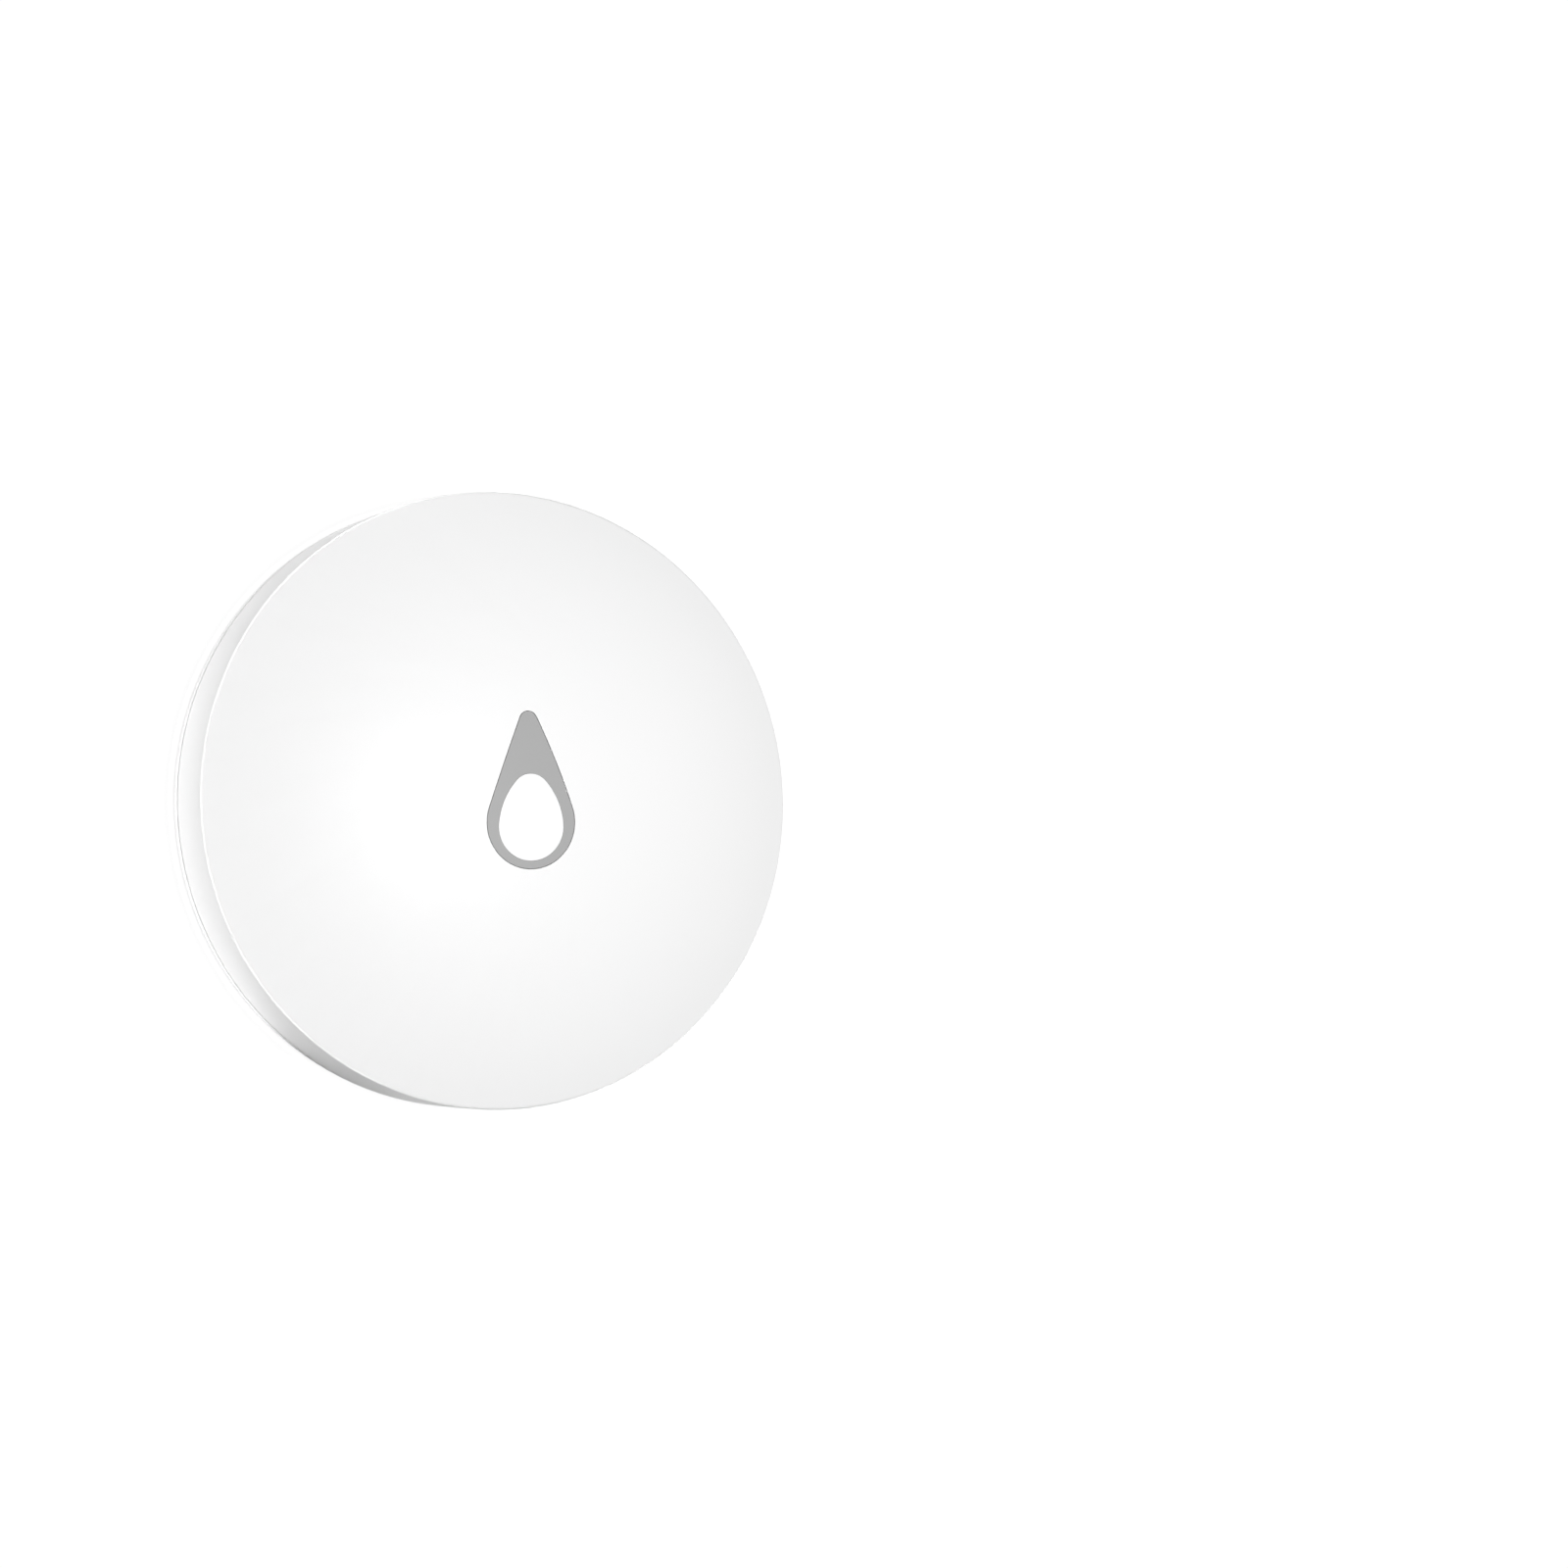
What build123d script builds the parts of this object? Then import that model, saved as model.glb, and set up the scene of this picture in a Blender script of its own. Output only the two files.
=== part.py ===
# Water leak sensor: a low round case with a domed top that lies on the floor.
# Millimetres, +Z up. The origin is the middle of the circle that the feet stand on.
# The pointed end of the drop button faces +Y and the two water probes lie along X.

import os
from math import hypot, sqrt

from build123d import *

os.makedirs("parts", exist_ok=True)

# Whole case
diameter = 50.0
height = 15.0
dome_rise = 6.8

# Clearances
clamp_gap = 0.05
slide_gap = 0.1
loose_gap = 0.25
overrun = 1.0

# Top shell
shell_wall = 1.5
rim_round = 0.4
seam_edge = 0.15
key_room_radius = 7.8
key_room_wall = 1.2
key_room_depth = 1.2
key_ledge = 2.0

# Snap ring between the shell and the base
snap_rise = 2.9
snap_reach = 0.25
snap_width = 0.9
snap_count = 6
snap_arc = 30

# Drop button: a wide round end and a small tip joined by long shallow flanks
drop_low_radius = 3.68
drop_low_y = -2.1
drop_tip_radius = 0.73
drop_tip_y = 6.0
drop_flank_radius = 100.0
button_flange = 0.7
button_flange_height = 0.75
button_stroke = 0.3
button_gap = 0.05
button_post_radius = 1.3
button_post_y = 4.0

# Indicator window in the button
window_low_radius = 2.72
window_low_y = -2.43
window_tip_radius = 1.62
window_tip_y = 0.13
window_flank_radius = 5.8
window_lip = 0.35
window_lip_height = 0.3
window_gap = 0.02

# Button seal, retainer, its screws and the light guide
seal_land = 0.9
seal_sheet = 0.8
seal_lip = 0.4
retainer_sheet = 1.0
ear_radius = 1.6
ear_count = 3
ear_turn = 30
small_screw_radius = 0.7
small_screw_length = 2.4
small_head_radius = 1.3
small_head_height = 0.8
small_recess_radius = 0.6
small_recess_depth = 0.35
guide_radius = 1.8
guide_flange_radius = 2.6
guide_flange_height = 0.5
guide_y = -1.9
guide_cone = 0.3

# Base housing
foot_height = 0.4
foot_width = 1.8
foot_inset = 2.6
foot_count = 4
foot_arc = 56
lip_height = 1.0
lip_round = 0.3
base_floor = 1.4
spigot_wall = 1.5
spigot_height = 4.0
gasket_rise = 0.6
gasket_height = 1.0
gasket_depth = 0.7
gasket_round = 0.3
bay_ledge = 1.4
bay_ledge_reach = 1.3
bay_wall = 1.6
bay_room = 0.4

# Coin cell
cell_diameter = 20.0
cell_height = 3.2
cell_sheet = 0.3
cell_crimp = 0.35
cell_edge = 0.4
cell_ring = 0.8
cell_gap = 0.2

# Battery cover and its coarse three-start closure
cover_inset = 0.1
cover_plate = 1.0
cover_land = 1.8
cover_rib = 1.0
cover_rib_wall = 0.8
cover_rib_radius = 7.0
cover_edge = 0.2
neck_wall = 0.8
lug_reach = 0.85
lug_height = 0.8
lug_arc = 20
ramp_height = 0.8
ramp_arc = 50
ramp_rise = 0.15
ramp_root = 0.4
closure_lead = 12.0
closure_starts = 3
coin_radius = 12.0
coin_slot_width = 1.6
coin_slot_depth = 1.3
coin_bar_width = 4.2
cover_seal_width = 0.8
cover_seal_height = 0.9
cover_seal_round = 0.35
cover_seal_land = 0.5

# Circuit board and what fixes it
board_sheet = 1.0
board_gap = 0.6
board_notch_radius = 1.5
contact_room = 0.7
board_boss_radius = 2.4
board_screw_radius = 0.9
board_screw_length = 4.2
board_head_radius = 1.8
board_head_height = 1.0
board_recess_radius = 0.8
board_recess_depth = 0.5
board_screw_turns = (90, 210, 330)

# Water probes
probe_head_radius = 2.5
probe_head_height = 1.0
probe_head_edge = 0.25
probe_proud = 0.2
probe_shank_radius = 1.0
probe_shank_end = 0.3
probe_boss_radius = 3.4
probe_seal_height = 0.7
probe_seal_wall = 1.1
probe_seal_round = 0.3
nut_flats = 4.0
nut_height = 1.0
probe_turns = (0, 180)
probe_names = ("right", "left")

# Tact switch under the button
switch_side = 5.2
switch_height = 1.6
switch_rim = 0.3
plunger_radius = 1.25
plunger_proud = 0.5
plunger_hidden = 0.6
terminal_width = 0.7
terminal_reach = 0.6
terminal_sheet = 0.2
terminal_spread = 3.0

# Indicator light
led_length = 2.0
led_width = 1.25
led_body = 0.4
led_lens = 0.4
led_lens_inset = 0.25
led_gap = 0.2

# Battery contacts, both stamped from the same strip
strip = 0.2
negative_width = 3.2
negative_base = 6.0
negative_arm = 5.0
negative_tail = 1.0
positive_width = 4.0
positive_pad = 3.0
positive_leg_room = 1.5
positive_turn = 45

# Parts soldered on the board
chip_side = 6.0
chip_height = 0.85
chip_place = (-9.5, -3.5)
chip_pad_length = 0.5
chip_pad_width = 0.3
chip_pad_height = 0.15
chip_pad_pitch = 0.75
chip_pads_per_side = 7
crystal_length = 3.2
crystal_width = 2.5
crystal_height = 0.7
crystal_edge = 0.25
crystal_place = (-9.5, 4.5)
capacitor_length = 1.6
capacitor_width = 0.8
capacitor_height = 0.7
capacitor_places = ((-14.5, -6.0), (-14.5, -3.5), (-14.5, -1.0), (-9.5, -9.5), (-6.5, -9.5), (9.5, 4.5))
resistor_length = 1.6
resistor_width = 0.8
resistor_height = 0.45
resistor_places = ((-9.5, 1.5), (-6.0, 1.5), (9.5, 1.5), (12.0, 1.5), (9.5, -1.5), (12.0, -1.5))
antenna_sheet = 0.1
antenna_line = 0.8
antenna_pitch = 2.0
antenna_height = 4.0
antenna_legs = 7
antenna_place = (0.0, -15.5)

# Heights of the planes that several pieces share
base_z = foot_height
seam_z = base_z + lip_height
floor_z = base_z + base_floor
rim_z = height - dome_rise
key_ceiling_z = height - key_ledge
key_room_z = key_ceiling_z - key_room_depth
retainer_top_z = key_room_z - seal_sheet
retainer_z = retainer_top_z - retainer_sheet
cover_z = base_z + cover_inset
cover_top_z = cover_z + cover_plate
cell_z = cover_top_z + cover_rib
cell_top_z = cell_z + cell_height
board_z = cell_top_z + contact_room
board_top_z = board_z + board_sheet
switch_top_z = board_top_z + switch_height
plunger_top_z = switch_top_z + plunger_proud
led_top_z = board_top_z + led_body + led_lens
spigot_top_z = seam_z + spigot_height
gasket_z = seam_z + gasket_rise
snap_z = seam_z + snap_rise
button_z = key_ceiling_z - clamp_gap - button_flange_height

# Radii that several pieces share
outer_radius = diameter / 2
cavity_radius = outer_radius - shell_wall
spigot_outer = cavity_radius - slide_gap
spigot_inner = spigot_outer - spigot_wall
board_radius = spigot_inner - board_gap
key_wall_outer = key_room_radius + key_room_wall
seal_radius = key_room_radius + seal_land
ear_circle = seal_radius + slide_gap + ear_radius
cell_radius = cell_diameter / 2
neck_inner = cell_radius + cell_gap
neck_outer = neck_inner + neck_wall
lug_outer = neck_outer + lug_reach
ramp_inner = neck_outer + loose_gap
bore_radius = lug_outer + loose_gap
cover_radius = bore_radius + cover_land
recess_radius = cover_radius + 2 * slide_gap
probe_circle = (recess_radius + spigot_inner) / 2
cover_seal_outer = cover_radius - cover_seal_land
cover_seal_inner = cover_seal_outer - cover_seal_width

# The dome is part of a sphere that meets the side wall at the rim
dome_radius = (outer_radius**2 + dome_rise**2) / (2 * dome_rise)
dome_centre_z = height - dome_radius


def dome_z(radius, depth=0.0):
    """Height of the dome at a radius, at a depth below its outside."""
    return dome_centre_z + sqrt((dome_radius - depth) ** 2 - radius**2)


def dome_arc(start_radius, end_radius, depth=0.0):
    """Arc of the dome's profile between two radii."""
    middle = (start_radius + end_radius) / 2
    ends = [(radius, dome_z(radius, depth)) for radius in (start_radius, middle, end_radius)]
    return ThreePointArc(*ends)


def drop_face(low_radius, low_y, tip_radius, tip_y, flank_radius, grow=0.0):
    """Drop outline about the Y axis: two round ends joined by flanks that bulge slightly."""
    reach = tip_y - low_y
    low_leg = flank_radius - low_radius
    tip_leg = flank_radius - tip_radius
    along = (low_leg**2 - tip_leg**2 + reach**2) / (2 * reach)
    aside = sqrt(low_leg**2 - along**2)
    centre = (-aside, low_y + along)

    def on_flank(x, y):
        leg = hypot(x - centre[0], y - centre[1])
        push = (flank_radius + grow) / leg
        return centre[0] + (x - centre[0]) * push, centre[1] + (y - centre[1]) * push

    low_point = on_flank(0.0, low_y)
    tip_point = on_flank(0.0, tip_y)
    mid_point = on_flank((low_point[0] + tip_point[0]) / 2, (low_point[1] + tip_point[1]) / 2)
    left = [(-x, y) for x, y in (low_point, mid_point, tip_point)]
    with BuildLine() as outline:
        ThreePointArc(left[0], (0.0, low_y - low_radius - grow), low_point)
        ThreePointArc(low_point, mid_point, tip_point)
        ThreePointArc(tip_point, (0.0, tip_y + tip_radius + grow), left[2])
        ThreePointArc(left[2], left[1], left[0])
    make_face(outline.edges())


def button_face(grow=0.0):
    drop_face(drop_low_radius, drop_low_y, drop_tip_radius, drop_tip_y, drop_flank_radius, grow)


def window_face(grow=0.0):
    drop_face(window_low_radius, window_low_y, window_tip_radius, window_tip_y, window_flank_radius, grow)


def closed_profile(*points):
    """Straight-sided profile through points given as radius and height."""
    with BuildLine() as outline:
        Polyline(*points, close=True)
    make_face(outline.edges())


def rounded_ring(inner, outer, low_z, high_z, corner):
    """Ring with a rounded rectangular section, as a squeezed O-ring has."""
    with BuildPart() as ring:
        with BuildSketch(Plane.XZ):
            with Locations(((inner + outer) / 2, (low_z + high_z) / 2)):
                RectangleRounded(outer - inner, high_z - low_z, corner)
        revolve(axis=Axis.Z)
    return ring


def turned_sector(arc, *points):
    """Piece of a ring: a straight-sided profile turned through an arc centred on +X."""
    with BuildPart() as sector:
        with BuildSketch(Plane.XZ):
            closed_profile(*points)
        revolve(axis=Axis.Z, revolution_arc=arc)
    return sector.part.rotate(Axis.Z, -arc / 2)


def helical_rib(inner, outer, rib_height, start_z, arc):
    """One rib of the closure, climbing to the left as seen from outside."""
    with BuildPart() as rib:
        with BuildLine() as path:
            Helix(closure_lead, closure_lead * arc / 360, (inner + outer) / 2, center=(0, 0, start_z))
        with BuildSketch(Plane(origin=path.line @ 0, x_dir=(1, 0, 0), z_dir=path.line % 0)):
            Rectangle(outer - inner, rib_height)
        sweep(is_frenet=True)
    return rib.part


def save(part, name):
    part.label = name
    export_step(part, "parts/" + name + ".step")


# Top shell: dome and side wall in one moulding, with the key room under its middle
snap_room = snap_reach + slide_gap
boss_top_z = dome_z(ear_circle + ear_radius, shell_wall / 2)
with BuildPart() as top_shell:
    with BuildSketch(Plane.XZ) as shell_profile:
        with BuildLine():
            Polyline((0, height), (0, seam_z), (outer_radius, seam_z), (outer_radius, rim_z))
            dome_arc(outer_radius, 0.0)
        make_face()
        fillet(shell_profile.vertices().group_by(Axis.X)[-1].sort_by(Axis.Y)[-1], rim_round)
        chamfer(shell_profile.vertices().group_by(Axis.X)[-1].sort_by(Axis.Y)[0], seam_edge)
    revolve(axis=Axis.Z)
    with BuildSketch(Plane.XZ):
        with BuildLine():
            Polyline(
                (cavity_radius, dome_z(cavity_radius, shell_wall)),
                (cavity_radius, seam_z),
                (0, seam_z),
                (0, key_ceiling_z),
                (key_room_radius, key_ceiling_z),
                (key_room_radius, key_room_z),
                (key_wall_outer, key_room_z),
                (key_wall_outer, dome_z(key_wall_outer, shell_wall)),
            )
            dome_arc(key_wall_outer, cavity_radius, shell_wall)
        make_face()
    revolve(axis=Axis.Z, mode=Mode.SUBTRACT)
    with BuildSketch(Plane.XZ):
        closed_profile(
            (cavity_radius, snap_z - snap_width / 2 - slide_gap),
            (cavity_radius + snap_room, snap_z - slide_gap),
            (cavity_radius + snap_room, snap_z + slide_gap),
            (cavity_radius, snap_z + snap_width / 2 + slide_gap),
        )
    revolve(axis=Axis.Z, mode=Mode.SUBTRACT)
    with BuildSketch(Plane.XY.offset(retainer_top_z)):
        with PolarLocations(ear_circle, ear_count, start_angle=ear_turn):
            Circle(ear_radius)
    extrude(amount=boss_top_z - retainer_top_z)
    with BuildSketch(Plane.XY.offset(retainer_top_z)):
        with PolarLocations(ear_circle, ear_count, start_angle=ear_turn):
            Circle(small_screw_radius + clamp_gap)
    extrude(amount=small_screw_length - retainer_sheet + clamp_gap, mode=Mode.SUBTRACT)
    with BuildSketch(Plane.XY.offset(key_ceiling_z)):
        button_face(button_gap)
    extrude(amount=key_ledge + overrun, mode=Mode.SUBTRACT)
save(top_shell.part, "top_shell")

# Drop button: flush with the dome, held up by its flange, with a post for the switch
with BuildPart() as drop_button:
    with BuildSketch(Plane.XY.offset(button_z)):
        button_face()
    extrude(amount=height - button_z)
    with BuildSketch(Plane.XY.offset(button_z)):
        button_face(button_flange)
    extrude(amount=button_flange_height)
    with BuildSketch(Plane.XY.offset(plunger_top_z + clamp_gap)):
        with Locations((0, button_post_y)):
            Circle(button_post_radius)
    extrude(amount=button_z - plunger_top_z - clamp_gap)
    with BuildSketch(Plane.XY.offset(button_z)):
        window_face(window_gap)
    extrude(amount=height - button_z, mode=Mode.SUBTRACT)
    with BuildSketch(Plane.XY.offset(button_z)):
        window_face(window_lip + window_gap)
    extrude(amount=window_lip_height + window_gap, mode=Mode.SUBTRACT)
    with Locations((0, 0, dome_centre_z)):
        Sphere(dome_radius, mode=Mode.INTERSECT)
save(drop_button.part, "drop_button")

# Indicator window: the milky middle of the button, clipped in from below by its lip
with BuildPart() as indicator_window:
    with BuildSketch(Plane.XY.offset(button_z)):
        window_face()
    extrude(amount=height - button_z)
    with BuildSketch(Plane.XY.offset(button_z)):
        window_face(window_lip)
    extrude(amount=window_lip_height)
    with Locations((0, 0, dome_centre_z)):
        Sphere(dome_radius, mode=Mode.INTERSECT)
save(indicator_window.part, "indicator_window")

# Button seal: a silicone sheet under the key room, with a wiping lip around the post
with BuildPart() as button_seal:
    with BuildSketch(Plane.XY.offset(retainer_top_z)):
        Circle(seal_radius)
    extrude(amount=seal_sheet)
    with BuildSketch(Plane.XY.offset(retainer_top_z)):
        with Locations((0, button_post_y)):
            Circle(button_post_radius + slide_gap + seal_lip)
    extrude(amount=-retainer_sheet)
    with BuildSketch(Plane.XY.offset(retainer_z)):
        with Locations((0, button_post_y)):
            Circle(button_post_radius + slide_gap)
    extrude(amount=retainer_sheet + seal_sheet, mode=Mode.SUBTRACT)
save(button_seal.part, "button_seal")

# Retainer: a plate that clamps the seal and the light guide under the key room
with BuildPart() as button_retainer:
    with BuildSketch(Plane.XY.offset(retainer_z)):
        Circle(seal_radius)
        with PolarLocations(ear_circle, ear_count, start_angle=ear_turn):
            Circle(ear_radius)
        with PolarLocations((seal_radius + ear_circle) / 2, ear_count, start_angle=ear_turn):
            Rectangle(ear_circle - seal_radius + ear_radius, 2 * ear_radius)
        with PolarLocations(ear_circle, ear_count, start_angle=ear_turn):
            Circle(small_screw_radius + clamp_gap, mode=Mode.SUBTRACT)
        with Locations((0, button_post_y)):
            Circle(button_post_radius + slide_gap + seal_lip + clamp_gap, mode=Mode.SUBTRACT)
        with Locations((0, guide_y)):
            Circle(guide_radius + clamp_gap, mode=Mode.SUBTRACT)
    extrude(amount=retainer_sheet)
    with BuildSketch(Plane.XY.offset(retainer_top_z)):
        with Locations((0, guide_y)):
            Circle(guide_flange_radius + clamp_gap)
    extrude(amount=-guide_flange_height, mode=Mode.SUBTRACT)
save(button_retainer.part, "button_retainer")

# Retainer screws: three small pan heads, driven upwards into the shell's bosses
with BuildPart() as retainer_screws:
    with BuildSketch(Plane.XY.offset(retainer_z)):
        with PolarLocations(ear_circle, ear_count, start_angle=ear_turn):
            Circle(small_screw_radius)
    extrude(amount=small_screw_length)
    with BuildSketch(Plane.XY.offset(retainer_z)):
        with PolarLocations(ear_circle, ear_count, start_angle=ear_turn):
            Circle(small_head_radius)
    extrude(amount=-small_head_height)
    with BuildSketch(Plane.XY.offset(retainer_z - small_head_height)):
        with PolarLocations(ear_circle, ear_count, start_angle=ear_turn):
            Rectangle(2 * small_recess_radius, small_recess_radius)
            Rectangle(small_recess_radius, 2 * small_recess_radius)
    extrude(amount=small_recess_depth, mode=Mode.SUBTRACT)
save(retainer_screws.part, "retainer_screws")

# Light guide: a clear rod from the light to the window, hung by its flange
guide_low_z = led_top_z + led_gap
with BuildPart() as light_guide:
    with BuildSketch(Plane.XY.offset(guide_low_z)):
        with Locations((0, guide_y)):
            Circle(guide_radius)
    extrude(amount=retainer_top_z - guide_low_z)
    chamfer(light_guide.edges().group_by(Axis.Z)[0], guide_cone)
    with BuildSketch(Plane.XY.offset(retainer_top_z)):
        with Locations((0, guide_y)):
            Circle(guide_flange_radius)
    extrude(amount=-guide_flange_height)
save(light_guide.part, "light_guide")

# Base housing: floor, outer lip, spigot and battery bay turned in one profile
groove_root = spigot_outer - gasket_depth
bay_outer = bore_radius + bay_wall
ledge_outer = recess_radius + bay_ledge_reach
ledge_top_z = floor_z + bay_ledge
bay_top_z = board_z - bay_room
foot_outer = outer_radius - foot_inset
ramp_mid_z = floor_z + ramp_rise + ramp_height / 2
ramp = helical_rib(ramp_inner, bore_radius + ramp_root, ramp_height, ramp_mid_z, ramp_arc)
probe_seat_z = base_z - probe_proud + probe_head_height + probe_seal_height
foot_inner = foot_outer - foot_width
foot = turned_sector(
    foot_arc,
    (foot_inner, 0),
    (foot_outer, 0),
    (foot_outer, floor_z),
    (foot_inner, floor_z),
)
bead = turned_sector(
    snap_arc,
    (groove_root, snap_z - snap_width / 2),
    (spigot_outer, snap_z - snap_width / 2),
    (spigot_outer + snap_reach, snap_z),
    (spigot_outer, snap_z + snap_width / 2),
    (groove_root, snap_z + snap_width / 2),
)
with BuildPart() as base_housing:
    with BuildSketch(Plane.XZ) as base_profile:
        closed_profile(
            (recess_radius, base_z),
            (outer_radius, base_z),
            (outer_radius, seam_z),
            (spigot_outer, seam_z),
            (spigot_outer, gasket_z),
            (groove_root, gasket_z),
            (groove_root, gasket_z + gasket_height),
            (spigot_outer, gasket_z + gasket_height),
            (spigot_outer, spigot_top_z),
            (spigot_inner, spigot_top_z),
            (spigot_inner, floor_z),
            (ledge_outer, floor_z),
            (ledge_outer, ledge_top_z),
            (bay_outer, ledge_top_z),
            (bay_outer, bay_top_z),
            (bore_radius, bay_top_z),
            (bore_radius, floor_z),
            (recess_radius, floor_z),
        )
        fillet(base_profile.vertices().group_by(Axis.X)[-1].sort_by(Axis.Y)[0], lip_round)
        chamfer(base_profile.vertices().group_by(Axis.X)[-1].sort_by(Axis.Y)[-1], seam_edge)
    revolve(axis=Axis.Z)
    with PolarLocations(0, foot_count, start_angle=180 / foot_count):
        add(foot)
    with PolarLocations(0, closure_starts):
        add(ramp)
    with BuildSketch(Plane.XY.offset(floor_z)):
        for turn in probe_turns:
            with PolarLocations(probe_circle, 1, start_angle=turn):
                Circle(probe_boss_radius)
        for turn in board_screw_turns:
            with PolarLocations(probe_circle, 1, start_angle=turn):
                Circle(board_boss_radius)
    extrude(amount=board_z - floor_z)
    with BuildSketch(Plane.XY.offset(board_z)):
        for turn in board_screw_turns:
            with PolarLocations(probe_circle, 1, start_angle=turn):
                Circle(board_screw_radius + clamp_gap)
    extrude(amount=board_sheet - board_screw_length - clamp_gap, mode=Mode.SUBTRACT)
    with BuildSketch(Plane.XY.offset(base_z)):
        for turn in probe_turns:
            with PolarLocations(probe_circle, 1, start_angle=turn):
                Circle(probe_head_radius + 2 * slide_gap)
    extrude(amount=probe_seat_z - base_z, mode=Mode.SUBTRACT)
    with BuildSketch(Plane.XY.offset(base_z)):
        for turn in probe_turns:
            with PolarLocations(probe_circle, 1, start_angle=turn):
                Circle(probe_shank_radius + clamp_gap)
    extrude(amount=board_z - base_z, mode=Mode.SUBTRACT)
    with PolarLocations(0, snap_count, start_angle=180 / snap_count):
        add(bead)
save(base_housing.part, "base_housing")

# Shell gasket: an O-ring squeezed between the spigot's groove and the shell
shell_gasket = rounded_ring(
    groove_root + clamp_gap,
    cavity_radius - clamp_gap,
    gasket_z + clamp_gap,
    gasket_z + gasket_height - clamp_gap,
    gasket_round,
)
save(shell_gasket.part, "shell_gasket")

# Battery cover: plate with an arched coin slot, neck with three lugs, ribs under the cell
lug_mid_z = ramp_mid_z + (ramp_height + lug_height) / 2 + slide_gap
neck_top_z = lug_mid_z + lug_height / 2 + closure_lead * lug_arc / 360 + clamp_gap
cover_groove_z = floor_z - cover_seal_height
lug = helical_rib(neck_outer - neck_wall / 2, lug_outer, lug_height, lug_mid_z, lug_arc)
rib_top_z = cell_z - clamp_gap
with BuildPart() as battery_cover:
    with BuildSketch(Plane.XZ) as cover_profile:
        closed_profile(
            (0, cover_z),
            (cover_radius, cover_z),
            (cover_radius, cover_top_z),
            (cover_seal_outer + clamp_gap, cover_top_z),
            (cover_seal_outer + clamp_gap, cover_groove_z),
            (cover_seal_inner - clamp_gap, cover_groove_z),
            (cover_seal_inner - clamp_gap, cover_top_z),
            (neck_outer, cover_top_z),
            (neck_outer, neck_top_z),
            (neck_inner, neck_top_z),
            (neck_inner, cover_top_z),
            (cover_rib_radius + cover_rib_wall, cover_top_z),
            (cover_rib_radius + cover_rib_wall, rib_top_z),
            (cover_rib_radius, rib_top_z),
            (cover_rib_radius, cover_top_z),
            (0, cover_top_z),
        )
        fillet(cover_profile.vertices().group_by(Axis.X)[-1].sort_by(Axis.Y)[0], cover_edge)
    revolve(axis=Axis.Z)
    with BuildSketch(Plane.XY.offset(cover_top_z)):
        Rectangle(2 * cover_rib_radius, coin_bar_width)
    extrude(amount=rib_top_z - cover_top_z)
    with PolarLocations(0, closure_starts):
        add(lug)
    with BuildSketch(Plane.XZ.offset(-coin_slot_width / 2)):
        with Locations((0, cover_z + coin_slot_depth - coin_radius)):
            Circle(coin_radius)
    extrude(amount=coin_slot_width, mode=Mode.SUBTRACT)
save(battery_cover.part, "battery_cover")

# Cover seal: an O-ring in the cover's groove, against the roof of the recess
cover_seal = rounded_ring(cover_seal_inner, cover_seal_outer, cover_groove_z, floor_z, cover_seal_round)
save(cover_seal.part, "cover_seal")

# Coin cell: steel can below, insulating ring, and the smaller steel cap on top
can_top_z = cell_top_z - cell_crimp
cap_radius = cell_radius - cell_sheet - cell_ring
with BuildPart() as coin_cell_can:
    with BuildSketch(Plane.XZ) as can_profile:
        closed_profile(
            (0, cell_z),
            (cell_radius, cell_z),
            (cell_radius, can_top_z),
            (cell_radius - cell_sheet, can_top_z),
            (cell_radius - cell_sheet, cell_z + cell_sheet),
            (0, cell_z + cell_sheet),
        )
        fillet(can_profile.vertices().group_by(Axis.X)[-1].sort_by(Axis.Y)[0], cell_edge / 2)
    revolve(axis=Axis.Z)
save(coin_cell_can.part, "coin_cell_can")

with BuildPart() as coin_cell_ring:
    with BuildSketch(Plane.XZ):
        closed_profile(
            (cap_radius, cell_z + cell_sheet),
            (cell_radius - cell_sheet, cell_z + cell_sheet),
            (cell_radius - cell_sheet, can_top_z),
            (cap_radius, can_top_z),
        )
    revolve(axis=Axis.Z)
save(coin_cell_ring.part, "coin_cell_ring")

with BuildPart() as coin_cell_cap:
    with BuildSketch(Plane.XZ) as cap_profile:
        closed_profile(
            (0, cell_z + cell_sheet),
            (cap_radius, cell_z + cell_sheet),
            (cap_radius, cell_top_z),
            (0, cell_top_z),
        )
        fillet(cap_profile.vertices().group_by(Axis.X)[-1].sort_by(Axis.Y)[-1], cell_edge / 2)
    revolve(axis=Axis.Z)
save(coin_cell_cap.part, "coin_cell_cap")

# Circuit board: a disc that the probe shanks and three screws pass through
with BuildPart() as circuit_board:
    with BuildSketch(Plane.XY.offset(board_z)):
        Circle(board_radius)
        with PolarLocations(board_radius, 2, start_angle=90 - 180 / len(board_screw_turns)):
            Circle(board_notch_radius, mode=Mode.SUBTRACT)
        for turn in probe_turns:
            with PolarLocations(probe_circle, 1, start_angle=turn):
                Circle(probe_shank_radius + clamp_gap, mode=Mode.SUBTRACT)
        for turn in board_screw_turns:
            with PolarLocations(probe_circle, 1, start_angle=turn):
                Circle(board_screw_radius + slide_gap, mode=Mode.SUBTRACT)
    extrude(amount=board_sheet)
save(circuit_board.part, "circuit_board")

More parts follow.
